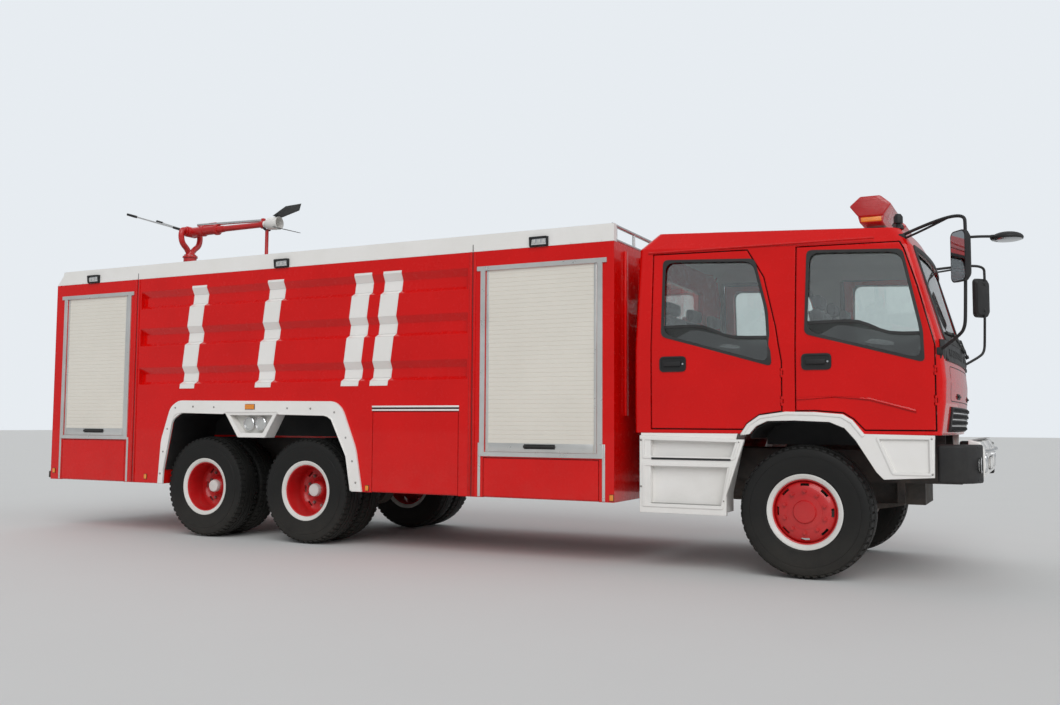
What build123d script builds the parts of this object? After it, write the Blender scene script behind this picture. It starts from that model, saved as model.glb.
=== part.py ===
from build123d import *
import math
import os

os.makedirs("parts", exist_ok=True)

# A heavy fire truck on a three-axle chassis with a crew cab, in millimetres.
# X points forward, Y to the truck's left and Z up. The ground is Z = 0 and the
# origin lies under the middle of the overall box. Lengths named *_from_axle are
# measured forward from the front axle.

# Chassis
front_axle_x = 3635
wheelbase = 4990
bogie_spacing = 1370
tyre_diameter = 1070
tyre_width = 290
twin_gap = 26
rim_lip_diameter = 600
front_wheel_y = 1040
twin_outer_y = 1225
rail_top_z = 1020
rail_height = 270
rail_spread = 860
rail_flange = 80
rail_wall = 10
frame_rear_from_axle = -8620
frame_front_from_axle = 1120
running_fit = 0.08
seat_gap = 0.3
swing_gap = 6

# Body of three modules, from the rear: pumps, water tank, lockers
body_width = 2500
body_rear_from_axle = -8750
tank_rear_from_axle = -7410
tank_front_from_axle = -3030
body_front_from_axle = -1603
body_bottom_z = 550
body_top_z = 2836
subframe_height = 40
locker_depth = 620
skin = 30
shutter_slat = 40
shutter_thickness = 18
fascia_height = 158
fascia_thickness = 60

# Cab
cab_half_width = 1200
cab_wall = 60
cab_floor_z = 1320
cab_bottom_z = 1155
roof_fall_deg = 2.95
door_gap = 10
glass_inset = 20
glass_thickness = 6
hinge_pin_radius = 5
hinge_barrel_radius = 8
hinge_barrel_height = 34

# Places that follow from the dimensions above
axle_z = tyre_diameter / 2
half_body = body_width / 2
rear_axle_x = (front_axle_x - wheelbase, front_axle_x - wheelbase - bogie_spacing)
bogie_x = (rear_axle_x[0] + rear_axle_x[1]) / 2
subframe_top_z = rail_top_z + subframe_height
sides = (("right", -1), ("left", 1))


def ahead(distance):
    return front_axle_x + distance


def side_plane(y):
    # Sketch plane of a side view: X forward, Z up, its normal towards -Y.
    return Plane((0, y, 0), x_dir=(1, 0, 0), z_dir=(0, -1, 0))


def slab(x0, x1, y0, y1, z0, z1):
    # A plain block between two corners, outside any builder.
    middle = Pos((x0 + x1) / 2, (y0 + y1) / 2, (z0 + z1) / 2)
    return middle * Box(abs(x1 - x0), abs(y1 - y0), abs(z1 - z0), mode=Mode.PRIVATE)


def side_prism(outline, y0, y1):
    # A side-view outline given as (x, z) points, pushed from y0 to y1.
    with BuildPart(mode=Mode.PRIVATE) as prism:
        with BuildSketch(side_plane(max(y0, y1))):
            with BuildLine():
                Polyline(*outline, close=True)
            make_face()
        extrude(amount=abs(y1 - y0))
    return prism.part


def rod(start, end, radius):
    # A round bar between two points, outside any builder.
    way = Vector(*end) - Vector(*start)
    bar = Cylinder(radius, way.length, align=(Align.CENTER, Align.CENTER, Align.MIN), mode=Mode.PRIVATE)
    return Plane(origin=start, z_dir=way) * bar


# Ladder frame: two channels, cross members and the subframe strips that carry the body

rail_y = rail_spread / 2
cross_members_from_axle = (1040, -1080, -1900, -3000, -4200, -5675, -7100, -8300)
cross_member_width = 90
cross_member_height = 150
cab_mounts_from_axle = (-1330, 950)
tow_reach = 230
tow_radius = 20.5
tow_length = 60
tow_z = 840

with BuildPart() as chassis_frame:
    for _, side in sides:
        with BuildSketch(Plane.YZ.offset(ahead(frame_rear_from_axle))):
            with Locations((side * (rail_y - rail_flange / 2), rail_top_z - rail_height / 2)):
                Rectangle(rail_flange, rail_height)
            with Locations((side * (rail_y - rail_wall - rail_flange / 2), rail_top_z - rail_height / 2)):
                Rectangle(rail_flange, rail_height - 2 * rail_wall, mode=Mode.SUBTRACT)
        extrude(amount=frame_front_from_axle - frame_rear_from_axle)
    for place in cross_members_from_axle:
        with Locations((ahead(place), 0, rail_top_z - rail_height / 2)):
            Box(cross_member_width, rail_spread - 2 * rail_wall + 2, cross_member_height)
    add(slab(ahead(frame_rear_from_axle - tow_reach), ahead(frame_rear_from_axle + 45), -70, 70,
             tow_z - tow_length / 2, tow_z + tow_length / 2))
    add(slab(ahead(frame_rear_from_axle), ahead(frame_rear_from_axle + 40), 1 - rail_y, rail_y - 1,
             tow_z - 90, rail_top_z - 60))
    with Locations((ahead(frame_rear_from_axle - tow_reach + 60), 0, tow_z)):
        Cylinder(tow_radius, tow_length, mode=Mode.SUBTRACT)
    for place in cab_mounts_from_axle:
        for _, side in sides:
            add(slab(ahead(place - 45), ahead(place + 45), side * (rail_y - rail_flange), side * rail_y,
                     rail_top_z - 1, cab_bottom_z - seat_gap))
    for _, side in sides:
        strip_length = body_front_from_axle - body_rear_from_axle - 2 * skin - 200
        strip_middle = ahead((body_front_from_axle + body_rear_from_axle) / 2)
        with Locations((strip_middle, side * (rail_y - rail_flange / 2), rail_top_z + subframe_height / 2)):
            Box(strip_length, rail_flange, subframe_height - seat_gap)

# Engine, gearbox and prop shafts below the cab and body

engine_length = 1150
engine_width = 640
engine_height = 580
engine_z = 855
engine_from_axle = 250
engine_mounts_from_axle = (-150, 650)
engine_mount_z = 900
pinion_reach = 260
pinion_radius = 75
gearbox_length = 560
gearbox_radius = 190
prop_radius = 45
prop_z = 620

with BuildPart() as driveline:
    with Locations((ahead(engine_from_axle), 0, engine_z)):
        Box(engine_length, engine_width, engine_height)
    gearbox_front = engine_from_axle - engine_length / 2
    with Locations((ahead(gearbox_front - gearbox_length / 2), 0, prop_z + 100)):
        Cylinder(gearbox_radius, gearbox_length, rotation=(0, 90, 0))
    for _, side in sides:
        for place in engine_mounts_from_axle:
            add(slab(ahead(place - 50), ahead(place + 50), side * (engine_width / 2 - 1),
                     side * (rail_spread / 2 - rail_wall - seat_gap), engine_mount_z - 40, engine_mount_z + 40))
    prop_front = ahead(gearbox_front - gearbox_length)
    prop_rear = rear_axle_x[0] + pinion_reach + seat_gap
    with Locations(((prop_front + prop_rear) / 2, 0, prop_z)):
        Cylinder(prop_radius, prop_front - prop_rear, rotation=(0, 90, 0))

# Front axle beam with kingpin eyes and leaf springs

kingpin_y = 860
kingpin_radius = 25
eye_radius = 55
eye_height = 110
beam_height = 100
beam_width = 110
beam_drop = 90
beam_end_inset = 80
neck_width = 80
spring_y = rail_y - rail_flange / 2
front_spring_length = 1340
spring_width = 80
spring_middle = 70
spring_end = 18
spring_camber = 70
hanger_width = 60


def leaf_spring(centre_x, half, y, width, end_z, middle_z, thin, thick):
    # Spring pack seen from the side: two arcs, thick in the middle and thin at its ends.
    with BuildPart(mode=Mode.PRIVATE) as pack:
        with BuildSketch(side_plane(y + width / 2)):
            with BuildLine():
                ThreePointArc((centre_x - half, end_z), (centre_x, middle_z), (centre_x + half, end_z))
                Line((centre_x + half, end_z), (centre_x + half, end_z + thin))
                ThreePointArc((centre_x + half, end_z + thin), (centre_x, middle_z + thick),
                              (centre_x - half, end_z + thin))
                Line((centre_x - half, end_z + thin), (centre_x - half, end_z))
            make_face()
        extrude(amount=width)
    return pack.part


with BuildPart() as front_axle:
    beam_top = axle_z - beam_drop + beam_height / 2
    with Locations((ahead(0), 0, axle_z - beam_drop)):
        Box(beam_width, 2 * (kingpin_y - beam_end_inset), beam_height)
    for _, side in sides:
        neck_end = kingpin_y - beam_end_inset
        add(slab(ahead(-beam_width / 2), ahead(beam_width / 2), side * (neck_end - 110), side * neck_end,
                 axle_z - beam_drop, axle_z + eye_height / 2))
        add(slab(ahead(-neck_width / 2), ahead(neck_width / 2), side * (neck_end - 1), side * kingpin_y,
                 axle_z - eye_height / 2, axle_z + eye_height / 2))
        with Locations((ahead(0), side * kingpin_y, axle_z)):
            Cylinder(eye_radius, eye_height)
            Cylinder(kingpin_radius + running_fit, eye_height, mode=Mode.SUBTRACT)
        add(leaf_spring(ahead(0), front_spring_length / 2, side * spring_y, spring_width,
                        beam_top + spring_camber, beam_top - 1, spring_end, spring_middle))
    for _, side in sides:
        for end in (-1, 1):
            top_z = rail_top_z - rail_height - seat_gap
            low_z = beam_top + spring_camber + spring_end / 2
            with Locations((ahead(end * (front_spring_length / 2 - 25)), side * spring_y, (top_z + low_z) / 2)):
                Box(hanger_width, spring_width - 10, top_z - low_z)

# Rear axles with their housings, and the bogie springs between them

housing_radius = 75
diff_radius = 215
spindle_radius = 45
spindle_start_y = 560
rear_spindle_end_y = 1070
bogie_spring_y = 500
bogie_spring_width = 84
bogie_thick = 110
trunnion_radius = 70

with BuildPart() as rear_axles:
    for place in rear_axle_x:
        with Locations((place, 0, axle_z)):
            Cylinder(housing_radius, 2 * spindle_start_y, rotation=(90, 0, 0))
            Cylinder(spindle_radius, 2 * rear_spindle_end_y, rotation=(90, 0, 0))
            Cylinder(diff_radius, 170, rotation=(90, 0, 0))
            Cylinder(diff_radius - 60, 260, rotation=(90, 0, 0))
    with Locations((rear_axle_x[0] + pinion_reach / 2, 0, prop_z)):
        Cylinder(pinion_radius, pinion_reach, rotation=(0, 90, 0))
    with Locations((bogie_x, 0, prop_z)):
        Cylinder(prop_radius, bogie_spacing - 100, rotation=(0, 90, 0))
    for _, side in sides:
        low_z = axle_z + housing_radius - 2
        for place in rear_axle_x:
            with Locations((place, side * bogie_spring_y, low_z)):
                Box(130, bogie_spring_width, 50)
        add(leaf_spring(bogie_x, bogie_spacing / 2 + 60, side * bogie_spring_y, bogie_spring_width,
                        low_z, low_z + 90, 30, bogie_thick))
        with Locations((bogie_x, side * bogie_spring_y, low_z + 100)):
            Cylinder(trunnion_radius, bogie_spring_width + 20, rotation=(90, 0, 0))
        bracket_inner = rail_y + seat_gap
        with Locations((bogie_x, side * (bracket_inner + 10), rail_top_z - rail_height / 2 - 40)):
            Box(220, 20, 180)
        with Locations((bogie_x, side * (bracket_inner + 25), rail_top_z - rail_height - 30)):
            Box(120, 50, 90)

# Fuel and air tanks between the frame and the body sides

fuel_tank_radius = 200
fuel_tank_length = 620
air_tank_radius = 120
air_tank_length = 600

with BuildPart() as chassis_tanks:
    for radius, length, from_axle, side in (
        (fuel_tank_radius, fuel_tank_length, -1035, 1),
        (air_tank_radius, air_tank_length, -1035, -1),
    ):
        with Locations((ahead(from_axle), side * (rail_y + 40 + radius), rail_top_z - rail_height / 2)):
            Cylinder(radius, length, rotation=(0, 90, 0))
        for shift in (-0.3, 0.3):
            strap_y = side * (rail_y + seat_gap + 30)
            with Locations((ahead(from_axle + shift * length), strap_y, rail_top_z - rail_height / 2)):
                Box(50, 60, 160)

# Body modules

locker_inner_y = half_body - locker_depth
arch_outline = ((-6800, 1250), (-6671, 1330), (-4724, 1330), (-4632, 1257), (-4442, 895), (-4381, 500),
                (-6930, 500), (-6918, 700))
flap_top_z = 915
flap_thickness = 30
flap_axis_inset = flap_thickness / 2
flap_axis_z = body_bottom_z + 3 + flap_thickness / 2
flap_pin_radius = 6
flap_pin_length = 14
# name, module rear, module front, shutter rear, shutter front, shutter foot, shutter head, flap top
shutter_modules = (
    ("rear", body_rear_from_axle, tank_rear_from_axle, -8550, -7560, 1065, 2660, 1020),
    ("front", tank_front_from_axle, body_front_from_axle, -2885, -1765, 965, 2650, 915),
)
access_rear = -4150
access_front = -3170
access_top = 1340
cavity_foot_z = 1100
side_post = 45


def flap_cavity(rear, front, top, side):
    # Locker behind a drop-down flap, open outwards over the flap's whole face.
    inner = slab(ahead(rear + 20), ahead(front - 20), side * (locker_inner_y + skin),
                 side * (half_body - flap_thickness - swing_gap), body_bottom_z + skin, top - 20)
    face = slab(ahead(rear), ahead(front), side * (half_body - flap_thickness - swing_gap),
                side * (half_body + 1), body_bottom_z - 1, top)
    return [inner, face]


def flap_bores(rear, front, side):
    # The two bores that the flap's pins turn in.
    bores = []
    for place, away in ((rear, -1), (front, 1)):
        centre = Pos(ahead(place + away * flap_pin_length / 2), side * (half_body - flap_axis_inset), flap_axis_z)
        bore = Cylinder(flap_pin_radius + running_fit, flap_pin_length, mode=Mode.PRIVATE)
        bores.append(centre * Rot(0, 90, 0) * bore)
    return bores


def module_blank(rear, front):
    # Upper box over the frame, and a locker box down each side of it.
    with BuildPart(mode=Mode.PRIVATE) as blank:
        add(slab(ahead(rear), ahead(front), -half_body, half_body, subframe_top_z, body_top_z))
        for _, side in sides:
            add(slab(ahead(rear), ahead(front), side * locker_inner_y, side * half_body,
                     body_bottom_z, subframe_top_z + 1))
    return blank


def shutter_module(rear, front, shutter_rear, shutter_front, foot, head, flap_top):
    # A locker module: a through space behind its two shutters and a flap locker under each.
    blank = module_blank(rear, front)
    with BuildPart() as module:
        add(blank.part)
        through = slab(ahead(shutter_rear), ahead(shutter_front), -half_body + side_post, half_body - side_post,
                       cavity_foot_z, head)
        add(through, mode=Mode.SUBTRACT)
        for _, side in sides:
            add(slab(ahead(shutter_rear), ahead(shutter_front), side * (half_body - side_post - 1),
                     side * (half_body + 1), foot, head), mode=Mode.SUBTRACT)
            for cut in flap_cavity(shutter_rear - 20, shutter_front + 20, flap_top, side):
                add(cut, mode=Mode.SUBTRACT)
            for bore in flap_bores(shutter_rear - 20, shutter_front + 20, side):
                add(bore, mode=Mode.SUBTRACT)
    return module


body_modules = {}
for name, rear, front, shutter_rear, shutter_front, foot, head, flap_top in shutter_modules:
    body_modules[name] = shutter_module(rear, front, shutter_rear, shutter_front, foot, head, flap_top)
body_rear = body_modules["rear"]
body_front = body_modules["front"]

# Water tank module with pressed bands along its sides and an arch over the bogie

band_depth = 48
band_slope = 70
band_foot_slope = 30
band_rear_from_axle = -7350
band_front_from_axle = -3085
bands = ((2690, 2490), (2270, 2070), (1830, 1640))
tank_blank = module_blank(tank_rear_from_axle + 1, tank_front_from_axle - 1)

with BuildPart() as body_tank:
    add(tank_blank.part)
    for _, side in sides:
        add(side_prism([(ahead(x), z) for x, z in arch_outline], side * 600, side * (half_body + 1)),
            mode=Mode.SUBTRACT)
        for top, foot in bands:
            with BuildSketch(Plane.YZ.offset(ahead(band_rear_from_axle))):
                with BuildLine():
                    Polyline((side * (half_body + 1), top), (side * (half_body - band_depth), top - band_slope),
                             (side * (half_body - band_depth), foot + band_foot_slope),
                             (side * (half_body + 1), foot), close=True)
                make_face()
            extrude(amount=band_front_from_axle - band_rear_from_axle, mode=Mode.SUBTRACT)
        for cut in flap_cavity(access_rear, access_front, access_top, side):
            add(cut, mode=Mode.SUBTRACT)
        for bore in flap_bores(access_rear, access_front, side):
            add(bore, mode=Mode.SUBTRACT)


def flap(rear, front, top, side):
    # A drop-down flap that turns on two pins along its foot.
    clear_rear = ahead(rear + swing_gap)
    clear_front = ahead(front - swing_gap)
    axis_y = side * (half_body - flap_axis_inset)
    with BuildPart() as board:
        add(slab(clear_rear, clear_front, side * (half_body - flap_thickness), side * half_body,
                 flap_axis_z, top - swing_gap))
        with Locations(((clear_rear + clear_front) / 2, axis_y, flap_axis_z)):
            Cylinder(flap_thickness / 2, clear_front - clear_rear, rotation=(0, 90, 0))
            Cylinder(flap_pin_radius, clear_front - clear_rear + 2 * (swing_gap + flap_pin_length - 2),
                     rotation=(0, 90, 0))
    return board


flaps = {}
for name, _, _, shutter_rear, shutter_front, _, _, flap_top in shutter_modules:
    for side_name, side in sides:
        flaps[f"flap_{name}_{side_name}"] = flap(shutter_rear - 20, shutter_front + 20, flap_top, side)
for side_name, side in sides:
    flaps[f"flap_access_{side_name}"] = flap(access_rear, access_front, access_top, side)

# Roller shutters: slats with a groove between each, sitting in the module's side openings

slat_groove = 3


def shutter(x0, x1, foot, head, side):
    # Shutter curtain with grooved slats; side is the way that it faces.
    outer_y = side * (half_body - 6)
    inner_y = side * (half_body - 6 - shutter_thickness)
    slat_count = int((head - foot) / shutter_slat)
    with BuildPart(mode=Mode.PRIVATE) as curtain:
        with BuildSketch(Plane.YZ.offset(ahead(x0))):
            with BuildLine():
                edge = [(inner_y, foot), (outer_y, foot)]
                for slat in range(1, slat_count):
                    z = foot + slat * (head - foot) / slat_count
                    edge += [(outer_y, z - slat_groove), (outer_y - side * slat_groove, z), (outer_y, z + slat_groove)]
                edge += [(outer_y, head), (inner_y, head)]
                Polyline(*edge, close=True)
            make_face()
        extrude(amount=x1 - x0)
    return curtain.part


with BuildPart() as roller_shutters:
    for _, _, _, shutter_rear, shutter_front, foot, head, _ in shutter_modules:
        for _, side in sides:
            add(shutter(shutter_rear + seat_gap, shutter_front - seat_gap, foot + seat_gap, head - seat_gap, side))

# Pale frames round the shutters, proud of the body side

frame_bar = 55
frame_proud = 12

with BuildPart() as shutter_frames:
    for _, _, _, shutter_rear, shutter_front, foot, head, _ in shutter_modules:
        for _, side in sides:
            face = side * (half_body + seat_gap)
            proud = side * (half_body + frame_proud)
            add(slab(ahead(shutter_rear - frame_bar - 40), ahead(shutter_front + frame_bar + 40), face, proud,
                     head, head + 42))
            add(slab(ahead(shutter_rear - frame_bar), ahead(shutter_rear - 6), face, proud, foot, head + 1))
            add(slab(ahead(shutter_front + 6), ahead(shutter_front + frame_bar), face, proud, foot, head + 1))
            add(slab(ahead(shutter_rear - frame_bar), ahead(shutter_front + frame_bar), face, proud, foot - 38, foot + 1))

# White flanges round the bogie arches, with a lamp box over the gap between the wheels

trim_outer = ((-6998, 553), (-6962, 1026), (-6835, 1387), (-6716, 1460), (-4597, 1440), (-4504, 1366),
              (-4334, 969), (-4255, 553))
trim_inner = ((-4378, 553), (-4439, 895), (-4629, 1257), (-4721, 1301), (-6668, 1327), (-6798, 1250),
              (-6916, 700), (-6926, 553))
trim_thickness = 22
lamp_box_outer = ((-6045, 1340), (-5852, 1068), (-5483, 1068), (-5315, 1340))
lamp_box_depth = 120

with BuildPart() as arch_trims:
    for _, side in sides:
        ring = [(ahead(x), z) for x, z in trim_outer + trim_inner]
        add(side_prism(ring, side * (half_body + seat_gap), side * (half_body + trim_thickness)))
        box = [(ahead(x), z) for x, z in lamp_box_outer]
        add(side_prism(box, side * (half_body + seat_gap), side * (half_body + trim_thickness)))
        add(side_prism(box[1:3] + [(ahead(-5330), 1325), (ahead(-6030), 1325)], side * (half_body - lamp_box_depth),
                       side * (half_body + 1)))

# White parapet round the roof and the rail across its front

fascia_slant = 137
rail_radius = 17
rail_foot_z = body_top_z + 10
roof_rail_z = body_top_z + fascia_height

with BuildPart() as roof_fascia:
    for _, side in sides:
        outline = [(ahead(body_rear_from_axle), body_top_z + seat_gap),
                   (ahead(body_rear_from_axle + fascia_slant), body_top_z + fascia_height),
                   (ahead(body_front_from_axle), body_top_z + fascia_height),
                   (ahead(body_front_from_axle), body_top_z + seat_gap)]
        add(side_prism(outline, side * (half_body - fascia_thickness), side * half_body))
    add(slab(ahead(body_rear_from_axle + fascia_slant - 60), ahead(body_rear_from_axle + fascia_slant),
             -half_body + 20, half_body - 20, body_top_z + seat_gap, body_top_z + fascia_height))

with BuildPart() as roof_rail:
    for z in (rail_foot_z + rail_radius, roof_rail_z):
        with Locations((ahead(body_front_from_axle - 40), 0, z)):
            Cylinder(rail_radius, body_width - 2 * fascia_thickness - 2 * seat_gap, rotation=(90, 0, 0))
    for step in range(6):
        y = (step / 5 - 0.5) * (body_width - 2 * fascia_thickness - 160)
        with Locations((ahead(body_front_from_axle - 40), y, (body_top_z + seat_gap + roof_rail_z) / 2)):
            Cylinder(rail_radius - 3, roof_rail_z - body_top_z - seat_gap)

# Ladder up the rear face

ladder_y = 850
ladder_width = 420
ladder_tube = 19
ladder_out = 130
rung_pitch = 290
ladder_foot_z = 620
rear_face_x = ahead(body_rear_from_axle)

with BuildPart() as ladder:
    ladder_x = rear_face_x - ladder_out
    ladder_top_z = body_top_z + fascia_height
    for side in (-1, 1):
        with Locations((ladder_x, ladder_y + side * ladder_width / 2, (ladder_foot_z + ladder_top_z) / 2)):
            Cylinder(ladder_tube, ladder_top_z - ladder_foot_z)
        for z in (ladder_foot_z + 200, 1700, body_top_z - 60):
            with Locations(((ladder_x + rear_face_x - seat_gap) / 2, ladder_y + side * ladder_width / 2, z)):
                Cylinder(ladder_tube - 4, ladder_out - seat_gap, rotation=(0, 90, 0))
    for rung in range(int((ladder_top_z - ladder_foot_z) / rung_pitch)):
        with Locations((ladder_x, ladder_y, ladder_foot_z + 120 + rung * rung_pitch)):
            Cylinder(ladder_tube - 5, ladder_width, rotation=(90, 0, 0))

# Cab form: level sections below the windows, and sections that fall forward with the roof above
# z at the front axle, falls with roof, rear, front, half width, corner radius, bow, moves in with a wall

cab_sections = (
    (cab_bottom_z, 0, -1435, 1085, cab_half_width, 60, 50, 0),
    (1400, 0, -1438, 1118, cab_half_width, 60, 50, 0),
    (1575, 0, -1438, 1125, cab_half_width, 60, 50, 0),
    (1880, 0, -1438, 1098, cab_half_width - 3, 60, 50, 0),
    (2690, 1, -1422, 895, 1110, 75, 55, 0.3),
    (2843, 1, -1285, 805, 1000, 100, 60, 1),
    (2885, 1, -1080, 600, 780, 120, 40, 1),
)


def cab_outline(rear, front, half_width, corner, bow, inset):
    # Plan of the cab: straight rear and sides, round corners and a bowed front.
    x0 = rear + inset
    x1 = front - inset
    w = half_width - inset
    r = max(corner - inset, 12)
    rear_r = max(45 - inset, 12)
    shoulder = x1 - bow
    diagonal = r * (1 - math.sqrt(0.5))
    rear_diagonal = rear_r * (1 - math.sqrt(0.5))
    for sign in (-1, 1):
        Line((x0 + rear_r, sign * w), (shoulder - r, sign * w))
        ThreePointArc((shoulder - r, sign * w), (shoulder - diagonal, sign * (w - diagonal)),
                      (shoulder, sign * (w - r)))
        ThreePointArc((x0 + rear_r, sign * w), (x0 + rear_diagonal, sign * (w - rear_diagonal)),
                      (x0, sign * (w - rear_r)))
    ThreePointArc((shoulder, -(w - r)), (x1, 0), (shoulder, w - r))
    Line((x0, -(w - rear_r)), (x0, w - rear_r))


def cab_block(inset, foot_z):
    # The cab as a solid, moved in from its outer face by a given thickness.
    with BuildPart(mode=Mode.PRIVATE) as block:
        for z, falls, rear, front, half_width, corner, bow, roof_share in cab_sections:
            tilt = math.radians(roof_fall_deg) * falls
            height = max(z - inset * roof_share, foot_z)
            along = (math.cos(tilt), 0, -math.sin(tilt))
            up = (math.sin(tilt), 0, math.cos(tilt))
            with BuildSketch(Plane((front_axle_x, 0, height), x_dir=along, z_dir=up)):
                with BuildLine():
                    cab_outline(rear, front, half_width, corner, bow, inset)
                make_face()
        loft(ruled=True)
    return block.part


cab_outer = cab_block(0, cab_bottom_z)
cab_clear = cab_block(-seat_gap, cab_bottom_z)
cab_inner = cab_block(cab_wall, cab_floor_z)
glass_outer = cab_block(glass_inset, cab_bottom_z)
glass_inner = cab_block(glass_inset + glass_thickness, cab_bottom_z)

# Side view outlines of doors and windows, in (from front axle, z)
door_outlines = {
    "rear": ((-1285, 1185), (-1290, 2710), (-455, 2695), (-311, 2452), (-208, 2030), (-159, 1740), (-159, 1333),
             (-343, 1306), (-444, 1236), (-480, 1185)),
    "front": ((-58, 1335), (-58, 2690), (752, 2680), (787, 2615), (883, 2313), (990, 1910), (1005, 1850),
              (1005, 1185), (478, 1185),
              (391, 1275), (317, 1320), (99, 1338)),
}
side_windows = {
    "rear": ((-1182, 2640), (-1182, 1990), (-256, 1721), (-290, 2170), (-405, 2600)),
    "front": ((45, 2640), (32, 1971), (915, 1725), (905, 1960), (762, 2600)),
}
windscreen_half_width = 1010
windscreen_foot_z = 1900
windscreen_head_z = 2640
rear_window_half_width = 600
rear_window_z = (2050, 2560)
cab_edge_y = cab_half_width + 40
door_inner_y = 1035

# name, hinge axis from the front axle, side coordinate, hinge heights
door_hinges = {
    "rear": (-159, cab_half_width, (1420, 1650)),
    "front": (1005, cab_half_width, (1420, 1650)),
}


def door_prism(name, side, shrink):
    # A door's outline as a prism through the cab wall, moved in by shrink all round.
    with BuildPart(mode=Mode.PRIVATE) as prism:
        with BuildSketch(side_plane(max(side * door_inner_y, side * cab_edge_y))):
            with BuildLine():
                Polyline(*[(ahead(x), z) for x, z in door_outlines[name]], close=True)
            make_face()
            if shrink:
                offset(amount=-shrink, kind=Kind.INTERSECTION)
        extrude(amount=cab_edge_y - door_inner_y)
    return prism.part


def window_prism(name, side, grow):
    with BuildPart(mode=Mode.PRIVATE) as prism:
        with BuildSketch(side_plane(max(side * door_inner_y, side * cab_edge_y))):
            with BuildLine():
                Polyline(*[(ahead(x), z) for x, z in side_windows[name]], close=True)
            make_face()
            fillet(vertices(), radius=45)
            if grow:
                offset(amount=grow)
        extrude(amount=cab_edge_y - door_inner_y)
    return prism.part


def hinge_axis(name, side):
    along, out, heights = door_hinges[name]
    return ahead(along - door_gap / 2), side * out, heights


def barrel(x, y, z, radius, height):
    return Pos(x, y, z) * Cylinder(radius, height, mode=Mode.PRIVATE)


knuckle_height = 20
knuckle_clear = hinge_barrel_radius + 5
knuckle_step = hinge_barrel_height / 2 + 0.5 + knuckle_height / 2
front_prism = slab(ahead(600), ahead(1300), -windscreen_half_width, windscreen_half_width,
                   windscreen_foot_z, windscreen_head_z)
rear_prism = slab(ahead(-1500), ahead(-1300), -rear_window_half_width, rear_window_half_width, *rear_window_z)
well_inner_y = 640

flare_inner = ((-426, 1130), (-426, 1152), (-367, 1218), (-277, 1259), (-59, 1268), (215, 1253), (329, 1206),
               (411, 1113), (411, 1100), (-426, 1100))

with BuildPart() as cab_shell:
    add(cab_outer)
    add(cab_inner, mode=Mode.SUBTRACT)
    add(front_prism, mode=Mode.SUBTRACT)
    add(rear_prism, mode=Mode.SUBTRACT)
    for _, side in sides:
        for name in door_outlines:
            add(door_prism(name, side, 0), mode=Mode.SUBTRACT)
            x, y, heights = hinge_axis(name, side)
            for z in heights:
                add(barrel(x, y, z, knuckle_clear, hinge_barrel_height + 1), mode=Mode.SUBTRACT)
                for step in (-knuckle_step, knuckle_step):
                    add(barrel(x, y, z + step, hinge_barrel_radius, knuckle_height))
                add(barrel(x, y, z, hinge_pin_radius, hinge_barrel_height + 2 * knuckle_height))
        add(side_prism([(ahead(x), z) for x, z in flare_inner], side * well_inner_y, side * cab_edge_y),
            mode=Mode.SUBTRACT)

with BuildPart() as wall_skin:
    add(cab_outer)
    add(cab_inner, mode=Mode.SUBTRACT)

with BuildPart() as face_skin:
    add(cab_outer)
    add(glass_outer, mode=Mode.SUBTRACT)

cab_doors = {}
for name in door_outlines:
    for side_name, side in sides:
        x, y, heights = hinge_axis(name, side)
        outer_skin = door_prism(name, side, door_gap)
        inner_skin = door_prism(name, side, door_gap + 10)
        with BuildPart() as door_back:
            add(wall_skin.part)
            add(inner_skin, mode=Mode.INTERSECT)
        with BuildPart() as whole_door:
            add(outer_skin)
            add(face_skin.part, mode=Mode.INTERSECT)
            add(door_back.part)
            add(window_prism(name, side, 0), mode=Mode.SUBTRACT)
            for z in heights:
                for step in (-knuckle_step, knuckle_step):
                    add(barrel(x, y, z + step, knuckle_clear, knuckle_height + 1), mode=Mode.SUBTRACT)
                add(barrel(x, y, z, hinge_barrel_radius, hinge_barrel_height))
                add(barrel(x, y, z, hinge_pin_radius + running_fit, hinge_barrel_height + 2), mode=Mode.SUBTRACT)
        cab_doors[f"door_{name}_{side_name}"] = whole_door

with BuildPart() as glass_skin:
    add(glass_outer)
    add(glass_inner, mode=Mode.SUBTRACT)

door_glass = {}
for name in side_windows:
    for side_name, side in sides:
        with BuildPart() as pane:
            add(glass_skin.part)
            add(window_prism(name, side, -seat_gap), mode=Mode.INTERSECT)
        door_glass[f"glass_{name}_{side_name}"] = pane

with BuildPart() as cab_glass:
    add(glass_skin.part)
    with BuildPart(mode=Mode.INTERSECT):
        add(slab(ahead(600), ahead(1300), -windscreen_half_width + seat_gap, windscreen_half_width - seat_gap,
                 windscreen_foot_z + seat_gap, windscreen_head_z - seat_gap))
        add(slab(ahead(-1500), ahead(-1300), -rear_window_half_width + seat_gap,
                 rear_window_half_width - seat_gap, rear_window_z[0] + seat_gap,
                 rear_window_z[1] - seat_gap))

# Dashboard with its steering wheel

dash_rear = 700
dash_front = 960
dash_top_z = 1790
wheel_rim_radius = 235
steering_wheel_y = 620

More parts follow.
